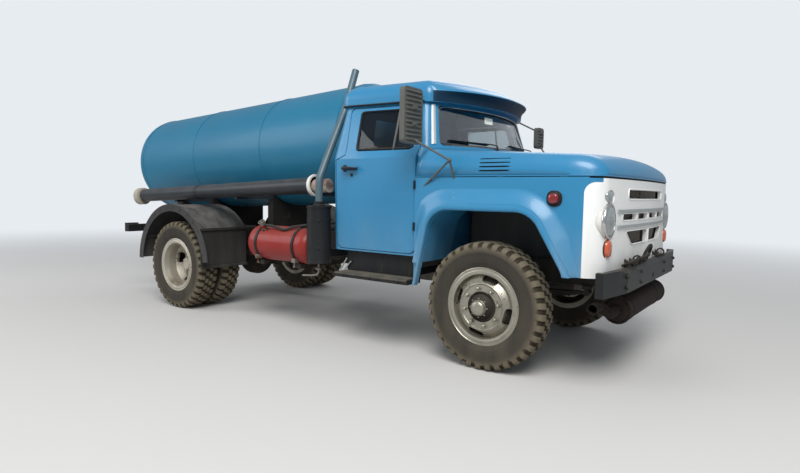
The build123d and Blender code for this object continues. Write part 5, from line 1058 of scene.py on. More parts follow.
@dataclass
class FrontBody:
    """The bonnet's smooth skin, the wings' flares, the seams and the rubber between them."""

    seam_z: float = 1.468
    shoulder: float = 0.115
    front_round: float = 0.215
    crest: float = 1.722
    fall: float = 0.082
    length: float = 1.362
    crown: float = 0.034
    power: float = 2.3
    flare_out: float = 1.0915

    def flare(self, side: float, name: str) -> None:
        """The rolled flare round one wheel arch, a closed skin laid over the wing.

        Each row keeps a share of the flare's width. The height over the side falls from the rolled lip
        to nothing by a smooth step.

        Args:
            side: +1 for left, -1 for right.
            name: The side's name.
        """
        base = arch_path(0.0)
        width = np.clip(base[:, 0] - (FRONT_AXLE - 0.583), 0.011, 0.175)
        width = np.minimum(width, np.interp(base[:, 1], [0.78, 1.0], [0.085, 0.175]))
        skin = []
        lip = ((-0.003, 1.03), (-0.006, 1.06), (-0.005, 1.078), (0, 1.0865), (0.01, self.flare_out))
        for grow, out in lip:
            x, z = arch_path(grow).T
            skin.append(places(x, out, z))
        steps = np.linspace(0, 0.18, 37)
        lines = np.array([arch_path(step) for step in steps])
        for share in (0.12, 0.22, 0.32, 0.42, 0.52, 0.62, 0.72, 0.82, 0.91, 1.0):
            grow = np.maximum(share * width, 0.01)
            x, z = np.array([[np.interp(g, steps, lines[:, k, axis]) for k, g in enumerate(grow)]
                             for axis in (0, 1)])
            drop = np.clip((share - 0.1) / 0.9, 0, 1)
            drop = drop * drop * (3 - 2 * drop)
            flat = side_half(x) - 0.0015
            skin.append(places(x, self.flare_out * (1 - drop) + flat * drop, z))
        outer = np.array(skin)
        inner = outer.copy()
        inner[:, :, 1] = np.minimum(side_half(inner[:, :, 0]) - 0.01, outer[:, :, 1] - 0.0005)
        inner[0, :, 1] = outer[0, :, 1] - 0.006
        shape = Shape()
        for sheet in (outer, inner):
            sheet[:, :, 1] *= side
            shape.grid(sheet)
        for rim in (0, -1, (slice(None), 0), (slice(None), -1)):
            shape.grid(np.stack([outer[rim], inner[rim]], 1))
        shape.build(f"wing_flare_{name}", [WHITE], "blue_paint")

    def outline(self, count: int) -> Array:
        """Half of the bonnet's edge in plan: along the side, round the corner to the middle of the nose.

        The corner is a quarter ellipse. The front is an arc of the nose.

        Args:
            count: Points on the side, on the corner and on the front.

        Returns:
            Points (x, y) with y from the side to 0.
        """
        start = nose_front(0.9) - self.front_round
        half = side_half(start)
        side_x = np.linspace(WING_REAR, start, count)
        turn = np.linspace(0, pi / 2, count)
        corner_y = half - self.shoulder + self.shoulder * np.cos(turn)
        corner_x = nose_front(corner_y) - self.front_round + self.front_round * np.sin(turn)
        front_y = np.linspace(half - self.shoulder, 0, count)
        side = np.stack([side_x, side_half(side_x)], -1)
        corner = np.stack([corner_x, corner_y], -1)
        front = np.stack([nose_front(front_y), front_y], -1)
        return np.vstack([side[:-1], corner[:-1], front])

    def ridge(self, x: Array) -> Array:
        """The height of the bonnet's middle line, which falls to the nose."""
        return self.crest - self.fall * (x - WING_REAR) / self.length

    def height(self, x: Array, y: Array) -> Array:
        """The bonnet's height: a crowned slope that rounds down to the seam at its edges."""
        top = self.ridge(x) - self.crown * (y / HALF_AT_REAR) ** 2
        beside = np.clip(1 - (side_half(x) - np.abs(y)) / self.shoulder, 0, 1)
        before = np.clip(1 - (nose_front(y) - x) / (self.front_round + 0.03), 0, 1)
        far = np.minimum(np.sqrt(beside**2 + before**2), 1.0)
        return self.seam_z + (top - self.seam_z) * (1 - far**self.power) ** (1 / self.power)

    def side_at(self, x: Array, z: Array) -> Array:
        """How far out the bonnet's side lies at a height, from the curve of its shoulder."""
        share = np.clip((z - self.seam_z) / (self.ridge(x) - self.crown - self.seam_z), 0, 1)
        far = (1 - share**self.power) ** (1 / self.power)
        return side_half(x) - self.shoulder * (1 - far)

    def bonnet(self) -> None:
        """The bonnet: a patch between its rear arc, its sides and its front, with a rolled edge."""
        shares = np.array([0, 0.003, 0.012, 0.03, 0.06, 0.1, 0.16, 0.24])
        count = 60
        edge = self.outline(count)
        length = lengths(edge)
        corner = length[count + 26]
        rows = np.concatenate([np.linspace(0, 0.8, 26), 1 - 0.2 * np.linspace(0.9, 0, 22) ** 1.7])
        columns = np.concatenate([0.12 * shares / 0.24, np.linspace(0.16, 1.0, 18)])
        side = spread(edge, rows * corner)
        front = spread(edge, corner + columns * (length[-1] - corner))
        rear_y = 1.04 * (1 - columns)
        rear = np.stack([FRONT_AXLE - 1.5624 + np.sqrt(1.4224**2 - rear_y**2), rear_y], -1)
        rear[0] = side[0]
        middle = np.stack([np.interp(rows, [0, 1], [rear[-1, 0], front[-1, 0]]), np.zeros(len(rows))], -1)
        u = rows[:, None, None]
        v = columns[None, :, None]
        patch = ((1 - v) * side[:, None, :] + v * middle[:, None, :] + (1 - u) * rear[None, :, :]
                 + u * front[None, :, :] - (1 - u) * (1 - v) * side[0] - (1 - u) * v * rear[-1]
                 - u * (1 - v) * side[-1] - u * v * front[-1])
        x, y = patch[:, :, 0], np.maximum(patch[:, :, 1], 0)
        z = self.height(x, y)
        z[:, 0] = self.seam_z
        z[-1, :] = self.seam_z
        half = np.stack([x, y, z], -1)
        shape = Shape()
        shape.grid(np.concatenate([half, (half * (1, -1, 1))[:, -2::-1]], axis=1))
        made = shape.build("bonnet_skin", [BLUE], "blue_paint", "bonnet", smooth=60, solid=0.0022)
        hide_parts("bonnet")
        rim = Shape()
        loop = np.vstack([edge, (edge * (1, -1))[-2::-1]])
        rim.tube(places(*loop.T, self.seam_z + 0.001), 0.0045, 8)
        rim.build("bonnet_edge", [BLUE], "blue_paint", "bonnet", smooth=60)

    def louvres(self) -> None:
        """Four pressed slots on each side of the bonnet: a mouth painted black as shade below a rounded lip.
        """
        shape = Shape()
        along = np.linspace(-0.1225, 0.1225, 25)
        taper = np.sqrt(np.clip(1 - (np.abs(along) / 0.1235) ** 8, 0, 1))
        x = FRONT_AXLE + 0.084 + along
        mouth = ((-0.0055, -0.004), (-0.0055, 0.0012), (0.0055, 0.0012), (0.0055, -0.004))
        lip = ((0.004, -0.002), (0.004, 0.0045), (0.0062, 0.0068), (0.0105, 0.0035), (0.0135, -0.002))
        for side in SIDE_NAMES:
            for z in (1.508 + 0.0285 * row for row in range(4)):
                out = self.side_at(x, z)
                shape.grid([places(x, side * (out + push), z + up * taper) for up, push in mouth],
                           wrap_u=True, slot=1)
                shape.grid([places(x, side * (self.side_at(x, z + up) + push * taper), z + up * taper)
                            for up, push in lip], wrap_u=True)
        shape.build("bonnet_louvres", [BLUE, SHADE_BLACK], "blue_paint", "bonnet", smooth=40)

    def seams(self) -> None:
        """A dark rubber strip that closes the seam below the bonnet."""
        edge = self.outline(40)
        shape = Shape()
        inset = 0.012
        line = np.stack([edge[:, 0] - inset * (edge[:, 1] < 0.93), np.maximum(edge[:, 1] - inset, 0)], -1)
        line = line[line[:, 0] > WING_REAR + 0.004]
        loop = np.vstack([line, (line * (1, -1))[-2::-1]])
        section = ((0, 1.4475), (0, 1.4665), (-0.012, 1.4665), (-0.012, 1.4475))
        strip = np.array([places(*(loop + (push, 0.0)).T, z) for push, z in section])
        shape.grid(strip, wrap_u=True)
        for end in (0, -1):
            shape.fan(strip[:, end])
        shape.build("bonnet_seal", [RUBBER], "flap_rubber", smooth=40)

    def build(self) -> None:
        """Build the front body's skins."""
        for side, name in SIDE_NAMES.items():
            self.flare(side, name)
        self.bonnet()
        self.louvres()
        self.seams()


# Fittings


def bolt(shape: Shape, place: Point, axis: Point, size: float = 0.009, slot: int = 0) -> None:
    """A round-edged bolt head on a washer, its size half the head's width."""
    profile = [(0, 0), (size * 1.5, 0), (size * 1.5, size * 0.25), (size, size * 0.3),
               (size, size * 0.9), (size * 0.8, size * 1.1), (0, size * 1.15)]
    shape.revolve(profile, place, axis, 8, slot)


def onto(node: str, starts: Array, direction: Point, lift: float = 0.0) -> Array:
    """Lay points on a CAD node's surface along a direction.

    Args:
        node: The node's name.
        starts: Where each ray starts.
        direction: The rays' direction.
        lift: How far off the surface the points come back, against the direction.

    Returns:
        The points; a ray that misses stops at the depth that a quadric through the hits gives.
    """
    mesh = NODES[node].data
    tree = BVHTree.FromPolygons([v.co for v in mesh.vertices], [f.vertices for f in mesh.polygons])
    way = Vector(direction).normalized()
    depths = np.array([tree.ray_cast(Vector(start), way)[3] or np.nan for start in starts])
    known = ~np.isnan(depths)
    terms = np.hstack([np.ones((len(starts), 1)), starts, starts**2])
    fit = np.linalg.lstsq(terms[known], depths[known], rcond=None)[0]
    depths = np.where(known, depths, terms @ fit)
    return starts + np.outer(depths - lift, np.array(way))


def from_front(node: str, y: object, z: object, lift: float = 0.0) -> Array:
    """Lay points (y, z) on a CAD node by rays from ahead of the cab."""
    return onto(node, places(AHEAD, y, z).reshape(-1, 3), (-1, 0, 0), lift)


def from_side(node: str, side: float, x: object, z: object, lift: float = 0.0) -> Array:
    """Lay points (x, z) on a CAD node by rays from beside the truck."""
    return onto(node, places(x, side * BESIDE, z).reshape(-1, 3), (0, -side, 0), lift)


@dataclass
class Lamps:
    """Headlamps, parking lamps, turn signals, side markers and tail lamps."""

    head: Point = (FRONT_AXLE + 0.872, 0.872, 1.165)
    parking: Point = (FRONT_AXLE + 0.852, 0.865, 1.328)
    signal: Point = (FRONT_AXLE + 0.858, 0.88, 0.98)
    marker_x: float = FRONT_AXLE + 0.543
    marker_z: float = 1.312
    tail: Point = (REAR_AXLE - 1.3206, 0.96, 0.85)
    lens_radius: float = 0.1005

    def headlamp(self, side: float, name: str) -> None:
        """A chrome rim, a bowl behind it and a domed, ribbed lens in front."""
        shape = Shape()
        ahead = (1, 0, 0)
        middle = (self.head[0], side * self.head[1], self.head[2])
        rim = [(0.1175, -0.02), (0.1235, -0.014), (0.1255, -0.002), (0.1215, 0.007), (0.112, 0.011),
               (0.1035, 0.008), (0.1005, 0), (0.098, -0.006), (0.098, -0.02)]
        shape.hoop(rim, middle, ahead)
        can = [(0.1165, -0.096), (0.1165, -0.019), (0.099, -0.019), (0.099, -0.096)]
        shape.hoop(can, middle, ahead, 64, 3)
        bowl = [(0.0975, -0.004), (0.085, -0.03), (0.055, -0.052), (0.02, -0.062), (0, -0.064),
                (0, -0.068), (0.0975, -0.012)]
        shape.revolve(bowl, middle, ahead, 48, 1)
        radius = self.lens_radius
        dome = [(radius * cos(t), 0.002 + 0.02 * sin(t)) for t in np.linspace(0, pi / 2, 14)]
        shape.revolve([*dome, (0, 0.019), (0.096, 0), (radius, 0.002)], middle, ahead, 64, 2)
        for z in np.linspace(-0.07, 0.07, 8):
            half = np.sqrt(0.094**2 - z**2)
            y = np.linspace(-half, half, 9)
            x = 0.0205 * np.sqrt(np.clip(1 - (y**2 + z**2) / radius**2, 0, 1)) + 0.0022
            shape.tube(places(middle[0] + x, middle[1] + y, middle[2] + z), 0.0016, 5, 2)
        shape.build(f"headlamp_{name}", [BRIGHT, BRIGHT, CLEAR_LENS, PLAIN_WHITE], "lamp_glass")

    def lens(self, shape: Shape, middle: Point, half_y: float, half_z: float, depth: float, deep: float,
             slot: int, rim_slot: int, sideways: float = 0.0) -> None:
        """A round-edged domed lens on a base ring: rows of a superellipse that shrink towards the top.

        Args:
            shape: The shape that takes the lens.
            middle: The middle of the lens's foot.
            half_y: Half its width.
            half_z: Half its height.
            depth: How far the dome stands out.
            deep: How far the base reaches back.
            slot: The lens's material slot.
            rim_slot: The base's material slot.
            sideways: 0 for a lens that faces along x, or its side.
        """
        turn = full_turn(40)
        wide, tall = squared(np.cos(turn), 0.8), squared(np.sin(turn), 0.8)
        rows = [(1.0, -deep), (1.0, 0), (0.99, depth * 0.45), (0.93, depth * 0.78), (0.8, depth * 0.95),
                (0.45, depth * 1.05), (0, depth * 1.08)]
        base = [(1.0, -deep), (1.13, -deep), (1.13, 0.003), (1.08, 0.006), (1.0, 0.004)]
        for profile, where in ((rows, slot), (base, rim_slot)):
            share, out = np.array(profile).T[:, :, None]
            a, b = share * half_y * wide, share * half_z * tall
            grid = places(a, sideways * out, b) if sideways else places(out, a, b)
            shape.grid(grid + np.array(middle), wrap_v=True, slot=where)

    def build(self) -> None:
        """Build every lamp; together they stand for the plain ones."""
        for side, name in SIDE_NAMES.items():
            self.headlamp(side, name)
        park, signal = Shape(), Shape()
        amber, red, rubber = range(3)
        wall = float(side_half(self.marker_x))
        for side in SIDE_NAMES:
            x, y, z = self.parking
            self.lens(park, (x, side * y, z), 0.064, 0.044, 0.022, 0.07, 0, 1)
            x, y, z = self.signal
            self.lens(signal, (x, side * y, z), 0.052, 0.06, 0.03, 0.07, amber, rubber)
            for out, half, depth, deep, slot in ((0.01, 0.036, 0.028, 0.011, red),
                                                 (0.004, 0.048, 0.008, 0.005, rubber)):
                self.lens(signal, (self.marker_x, side * (wall + out), self.marker_z), half, half, depth,
                          deep, slot, rubber, side)
            x, y, z = self.tail[0], side * self.tail[1], self.tail[2]
            signal.block((x, y - 0.075, 0.795), (x + 0.0592, y + 0.075, 0.905), rubber)
            for shift, wide, slot in ((-0.034, 0.034, red), (0.037, 0.031, amber)):
                self.lens(signal, (x - 0.0005, y + side * shift, z), wide, 0.046, -0.01, -0.001, slot, rubber)
        made = park.build("parking_lamps", [CLEAR_LENS, BRIGHT], "lamp_glass")
        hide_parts("front_lamps")
        made = signal.build("signal_lamps_all", [AMBER, RED_LENS, RUBBER], "signal_plastic")
        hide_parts("signal_lamps")


@dataclass
class NoseDetails:
    """The mesh behind the slots, slot edges, and the iron on the bumper."""

    wire: float = 0.0016
    wire_step: float = 0.016
    edge: float = 0.0048
    bumper_top: float = 0.842
    bumper_face: float = FRONT_AXLE + 0.979

    def mesh(self) -> None:
        """A dark woven mesh behind the openings: thin upright and level wires before a black sheet painted as
        shade.
        """
        shape = Shape()
        y = np.linspace(-0.72, 0.72, 41)
        shape.slab([places(nose_front(y) - 0.052, y, z) for z in (0.955, 1.405)], (-0.004, 0, 0), 1)
        for z in np.arange(0.965, 1.4, self.wire_step):
            shape.tube(places(nose_front(y) - 0.046, y, z)[::4], self.wire, 4)
        for at in np.arange(-0.71, 0.72, self.wire_step):
            x = float(nose_front(at)) - 0.045
            shape.tube([(x, at, 0.96), (x, at, 1.4)], self.wire, 4)
        shape.build("grille_mesh", [STEEL, SHADE_BLACK], "engine_iron")

    def rolled_slot(self, shape: Shape, middle: float, z: float, wide: float, tall: float) -> None:
        """A rolled white edge round one opening of the nose, a rectangle with round corners."""
        corner = min(tall * 0.45, 0.022)
        half_y, half_z = wide / 2 - corner, tall / 2 - corner
        turn = np.linspace(0, pi / 2, 6)
        points = []
        for across, rise, start in ((1, 1, 0), (-1, 1, pi / 2), (-1, -1, pi), (1, -1, 3 * pi / 2)):
            points.append(np.stack([across * half_y + corner * np.cos(turn + start),
                                    rise * half_z + corner * np.sin(turn + start)], -1))
        loop = dense(np.vstack([*points, points[0][:1]]), 0.02)[:-1]
        y = middle + loop[:, 0]
        shape.tube(places(nose_front(y) + 0.001, y, z + loop[:, 1]), self.edge, 8, closed=True)

    def edges(self) -> None:
        """Rolled edges round the air slot, the oblong holes and the mouths."""
        shape = Shape()
        self.rolled_slot(shape, 0.0, 1.35, 1.06, 0.074)
        for y, wide in ((0.16, 0.276), (0.488, 0.3)):
            for side in SIDE_NAMES:
                self.rolled_slot(shape, side * y, 1.188, wide, 0.052)
        corners = [(0, 0.03, 0.985), (0, 0.03, 1.087), (0, 0.57, 1.087), (0, 0.43, 0.985), (0, 0.03, 0.985),
                   (0, 0.03, 1.087)]
        path = dense(rounded_path(corners, 0.03, 5)[:-1], 0.02)
        for side in SIDE_NAMES:
            y = side * path[:, 1]
            shape.tube(places(nose_front(y) + 0.001, y, path[:, 2]), self.edge, 8)
        shape.build("nose_rolled_edges", [WHITE], "white_paint")

    def iron(self) -> None:
        """Shackles with their pins and a chain lying on the bumper, beside the standing tow eyes."""
        shape = Shape()
        top = self.bumper_top
        turn = np.linspace(-0.25 * pi, 1.25 * pi, 22)
        for x, y, lean, size in ((0.925, -0.64, 1.05, 0.052), (0.955, -0.5, -1.15, 0.056),
                                 (0.93, -0.35, 0.95, 0.06), (0.945, -0.17, 0.35, 0.072),
                                 (0.95, 0.3, -0.9, 0.058)):
            up = size * np.sin(turn) + size * 0.72
            leaned = places(up * sin(lean), size * np.cos(turn), up * cos(lean))
            shape.tube(leaned + np.array([FRONT_AXLE + x, y, top + 0.01]), 0.0115, 10)
            shape.tube([(FRONT_AXLE + x, y + way * size * 1.15, top + 0.012) for way in (-1, 1)], 0.0105, 10)
        links = dense(curve_through([(0.948, -0.62, top + 0.03), (0.962, -0.5, top + 0.02),
                                     (0.945, -0.36, top + 0.036), (0.96, -0.2, top + 0.016)], 60), 0.03)
        links[:, 0] += FRONT_AXLE
        link = full_turn(14)
        for k, at in enumerate(links):
            flat = places(0.01 * np.cos(link) * (k % 2), 0.021 * np.sin(link),
                          0.01 * np.cos(link) * ((k + 1) % 2))
            shape.tube(flat + at, 0.0045, 6, closed=True)
        for y in (-0.78, -0.392, 0.392, 0.78):
            for z in (0.715, 0.79):
                bolt(shape, (self.bumper_face, y, z), (1, 0, 0), 0.011)
        shape.build("bumper_iron", [CHASSIS], "black_paint")

    def build(self) -> None:
        """Build the nose's details."""
        self.mesh()
        self.edges()
        self.iron()


@dataclass
class Cab:
    """Rubber round the windows, wipers, drip rails, handles, mirror ribs, and the cab's inside."""

    screen_loop: tuple = ((-0.855, 1.727), (0.855, 1.727), (0.757, 2.055), (-0.757, 2.055))
    door_loop: tuple = ((-1.259, 1.703), (-0.676, 1.703), (-0.731, 2.037), (-1.259, 2.037))
    divider_x: float = FRONT_AXLE - 0.876
    handle_x: float = FRONT_AXLE - 1.352
    handle_z: float = 1.54
    visor_half: float = 0.835
    seat_x: float = FRONT_AXLE - 1.19
    seat_y: float = 0.47

    def pane_loop(self, points: Profile, radius: float) -> Array:
        """A closed loop with rounded corners through (a, b) pairs."""
        flat = [np.array([a, b, 0.0]) for a, b in points]
        middle = (flat[-1] + flat[0]) / 2
        return dense(rounded_path([middle, *flat, middle], radius, 8), 0.018)[:-1, :2]

    def screen(self) -> None:
        """The windscreen's rubber with a bright bead on it."""
        shape = Shape()
        loop = self.pane_loop(self.screen_loop, 0.07)
        line = from_front("cab_glass", loop[:, 0], loop[:, 1], 0.0035)
        shape.tube(line, 0.0135, 8, 0, closed=True)
        shape.tube(line + (0.011, 0, 0), 0.0042, 6, 1, closed=True)
        shape.build("screen_rubber", [RUBBER, BRIGHT], "flap_rubber", smooth=60)

    def wipers(self) -> None:
        """Two parked wipers: pivot, arm and blade lying on the glass."""
        shape = Shape()
        pivot = [(0, -0.03), (0.016, -0.03), (0.016, 0.008), (0.01, 0.014), (0, 0.015)]
        for y in (0.36, -0.36):
            across, rise = np.linspace(y - 0.4, y - 0.02, 14), np.linspace(1.77, 1.752, 14)
            line = from_front("cab_glass", across, rise, 0.009)
            shape.tube(line, 0.0065, 6)
            shape.tube(line + (0.014, 0, 0.004), 0.0045, 6)
            foot = np.array([line[-1][0] + 0.055, y + 0.07, 1.715])
            arm = [foot, foot + (0.002, -0.03, 0.04), line[7] + (0.018, 0, 0.004)]
            shape.tube(curve_through(arm, 10), 0.0055, 6)
            shape.revolve(pivot, foot, (0.4, 0, 1), 16)
        shape.build("wipers", [BLACK], "dark_plastic", smooth=60)

    def door_rubber(self, side: float, name: str) -> None:
        """Rubber round one door's window, its upright divider and the hinge knuckles."""
        shape = Shape()
        loop = self.pane_loop([(FRONT_AXLE + x, z) for x, z in self.door_loop], 0.04)
        glass = f"door_glass_{name}"
        shape.tube(from_side(glass, side, loop[:, 0], loop[:, 1], 0.004), 0.0095, 8, 0, closed=True)
        bar = from_side(glass, side, self.divider_x, np.linspace(1.69, 2.036, 9), 0.003)
        shape.tube(bar, 0.0105, 8, 2)
        for low in (1.034, 1.368):
            foot = (FRONT_AXLE - 0.604, side * 1.047, low)
            shape.revolve(band(0, 0.0105, 0, 0.068), foot, (0, 0, 1), 12, 1)
        shape.build(f"door_rubber_{name}", [RUBBER, BLACK, MIRROR], "flap_rubber", f"door_{name}", smooth=60)

    def handle(self, side: float, name: str) -> None:
        """One door's bent handle on its round cover, with the lock below it."""
        shape = Shape()
        x, z = self.handle_x, self.handle_z
        touch = from_side(f"door_{name}", side, FRONT_AXLE - 1.3, np.array([1.5, 1.585]))
        wall = touch[:, 1].mean() * side
        path = curve_through([(x - 0.005, wall + 0.004, z + 0.004), (x + 0.008, wall + 0.04, z + 0.002),
                              (x + 0.06, wall + 0.05, z), (x + 0.13, wall + 0.046, z - 0.002),
                              (x + 0.168, wall + 0.036, z - 0.003)], 22)
        path[:, 1] *= side
        shape.tube(path, np.interp(np.linspace(0, 1, 22), [0, 0.15, 0.6, 1], [0.019, 0.015, 0.014, 0.01]), 12)
        shape.revolve([(0, 0), (0.03, 0), (0.03, 0.008), (0.022, 0.013), (0, 0.014)],
                      (x, side * (wall - 0.001), z + 0.003), (0, side, 0), 24)
        shape.revolve([(0, 0), (0.014, 0), (0.013, 0.006), (0, 0.007)],
                      (x + 0.075, side * (wall - 0.001), z - 0.055), (0, side, 0), 18)
        shape.build(f"door_handle_{name}", [BLACK], "dark_plastic", f"door_{name}", smooth=60)

    def drip_rail(self) -> None:
        """A dark gutter along each side of the roof."""
        shape = Shape()
        x = np.linspace(FRONT_AXLE - 1.455, FRONT_AXLE - 0.64, 24)
        for side in SIDE_NAMES:
            shape.tube(from_side("cab_shell", side, x, 2.0905, 0.004), 0.0085, 8)
        shape.build("drip_rails", [BLACK], "blue_paint", smooth=60)

    def visor(self) -> None:
        """The roof's front lip: a hollow-backed blade over the windscreen, its underside painted dark as
        shade.

        Each row follows the cab at its height and stands out by its own reach, which falls to the
        sides as 1 - share^4.
        """
        shape = Shape()
        painted_shade_rows = 5
        y = np.linspace(-self.visor_half, self.visor_half, 61)
        share = 1 - (np.abs(y) / self.visor_half) ** 4
        rows = []
        for z, out in ((2.088, 0.003), (2.12, 0.006), (2.15, 0.024), (2.168, 0.066), (2.176, 0.078),
                       (2.185, 0.077), (2.197, 0.06), (2.212, 0.036), (2.229, 0.014), (2.244, -0.003)):
            rows.append(from_front("cab_shell", y, z) + places(out * share + 0.001, 0, 0))
        shape.slab(rows[painted_shade_rows - 1:], (-0.006, 0, 0), 0)
        # The lower rows are painted dark as shade.
        shape.slab(rows[:painted_shade_rows], (-0.003, 0, 0), 1)
        shape.build("roof_visor", [BLUE, VISOR_PAINTED_SHADE], "blue_paint", smooth=60)

    def strips(self) -> None:
        """A bright strip up each pillar beside the windscreen, crowned along its middle: a painted reflection
        on the pillar.
        """
        shape = Shape()
        z = np.linspace(1.735, 2.068, 14)
        inner = np.interp(z, [1.735, 2.068], [0.882, 0.785])
        outer = inner + 0.034
        for side in SIDE_NAMES:
            edges = (inner, (inner + outer) / 2, outer)
            wall = [from_front("cab_shell", side * edge, z, 0.004) for edge in edges]
            wall[1][:, 0] += 0.006
            shape.slab(wall, (-0.006, 0, 0))
        shape.build("pillar_strips", [PILLAR_REFLECTION], "chrome_trim", smooth=60)

    def mirrors(self) -> None:
        """Level ribs on the back of each mirror, and the clamps of its arm."""
        for side, name, x, y, low, high, wide in ((RIGHT, "right", -0.5, 1.253, 1.705, 2.12, 0.24),
                                                  (LEFT, "left", -0.47, 1.11, 1.84, 2.06, 0.17)):
            shape = Shape()
            face = FRONT_AXLE + x + 0.0225
            half = wide / 2 - 0.022
            y = side * y
            for z in np.linspace(low + 0.03, high - 0.03, int((high - low) / 0.034)):
                shape.tube([(face - 0.004, y - half, z), (face + 0.003, y - half * 0.9, z),
                            (face + 0.003, y + half * 0.9, z), (face - 0.004, y + half, z)], 0.0075, 8)
            middle = (low + high) / 2
            for z in (middle - 0.06, middle + 0.06):
                shape.block((face - 0.002, y - 0.028, z - 0.016), (face + 0.016, y + 0.028, z + 0.016))
                bolt(shape, (face + 0.016, y, z), (1, 0, 0), 0.007)
            shape.build(f"mirror_ribs_{name}", [MIRROR], "dark_plastic", bevel=0.002)

    def label(self) -> None:
        """A small bare white label inside the top of the windscreen, sheared to look upright."""
        shape = Shape()
        low, high, lean = 1.952, 2.015, 0.6
        y, z = np.meshgrid(np.linspace(-0.27, -0.145, 5), np.linspace(low, high, 4), indexing="ij")
        sheet = from_front("cab_glass", y + lean * (z - low), z, -0.0075)
        shape.slab(sheet.reshape(*y.shape, 3), (-0.0006, 0, 0))
        shape.build("screen_label", [PLAIN_WHITE], "white_paint")

    def seat(self, side: float, name: str) -> None:
        """One seat's cushion and back as soft, piped pads: superellipses with a crown and two seams."""
        shape = Shape()
        y = side * self.seat_y
        self.pad(shape, (self.seat_x, y, 1.2005), (0.25, 0.25, 0.0595))
        self.pad(shape, (self.seat_x - 0.19, y, 1.5215), (0.059, 0.25, 0.26), upright=True)
        made = shape.build(f"seat_pads_{name}", [LEATHER], "seat_cover", smooth=60)
        if side > 0:
            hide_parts("seat_cushions", "seat_backs")

    def pad(self, shape: Shape, middle: Point, half: Point, upright: bool = False) -> None:
        """A soft pad: a grid over a sphere drawn to a superellipsoid, dented along two seams.

        Args:
            shape: The shape that takes the pad.
            middle: The pad's middle.
            half: Half its sizes.
            upright: Whether its thin way is along x rather than z.
        """
        power = 0.32
        turn = full_turn(64)
        rise = np.linspace(-pi / 2, pi / 2, 41)[:, None]
        a = squared(np.cos(rise), power) * squared(np.cos(turn), power)
        b = squared(np.cos(rise), power) * squared(np.sin(turn), power)
        c = squared(np.sin(rise), power) * np.ones(64)
        swell = 1 - 0.24 * np.clip(np.abs(a), 0, 1) ** 2 - 0.1 * np.abs(b) ** 2
        seam = 1 - 0.16 * np.exp(-((np.abs(b) - 0.42) / 0.045) ** 2)
        c = c * swell * seam
        parts = (c, b, a) if upright else (a, b, c)
        shape.grid(places(*(size * part for size, part in zip(half, parts))) + np.array(middle), wrap_v=True)

    def inside(self) -> None:
        """The dashboard's gauges and the gear lever with its knob."""
        shape = Shape()
        x = FRONT_AXLE
        for y in (0.36, 0.46, 0.56):
            shape.revolve([(0, 0), (0.043, 0), (0.043, 0.012), (0.038, 0.014), (0.036, 0.006), (0, 0.006)],
                          (x - 0.668, y, 1.64), (-1, 0, 0.2), 28, 1)
        lever = curve_through([(x - 0.8, 0.05, 0.92), (x - 0.86, 0.06, 1.2), (x - 0.98, 0.08, 1.42)], 16)
        shape.tube(lever, 0.009, 8, 1)
        knob = [(0, -0.028), (0.018, -0.022), (0.026, 0), (0.018, 0.022), (0, 0.028)]
        shape.revolve(knob, lever[-1], (0, 0, 1), 20)
        shape.build("cab_fittings", [RUBBER, BRIGHT], "dark_plastic")

    def build(self) -> None:
        """Build the cab's details."""
        self.screen()
        self.wipers()
        for side, name in SIDE_NAMES.items():
            self.door_rubber(side, name)
            self.handle(side, name)
            self.seat(side, name)
        self.drip_rail()
        self.visor()
        self.strips()
        self.mirrors()
        self.label()
        self.inside()


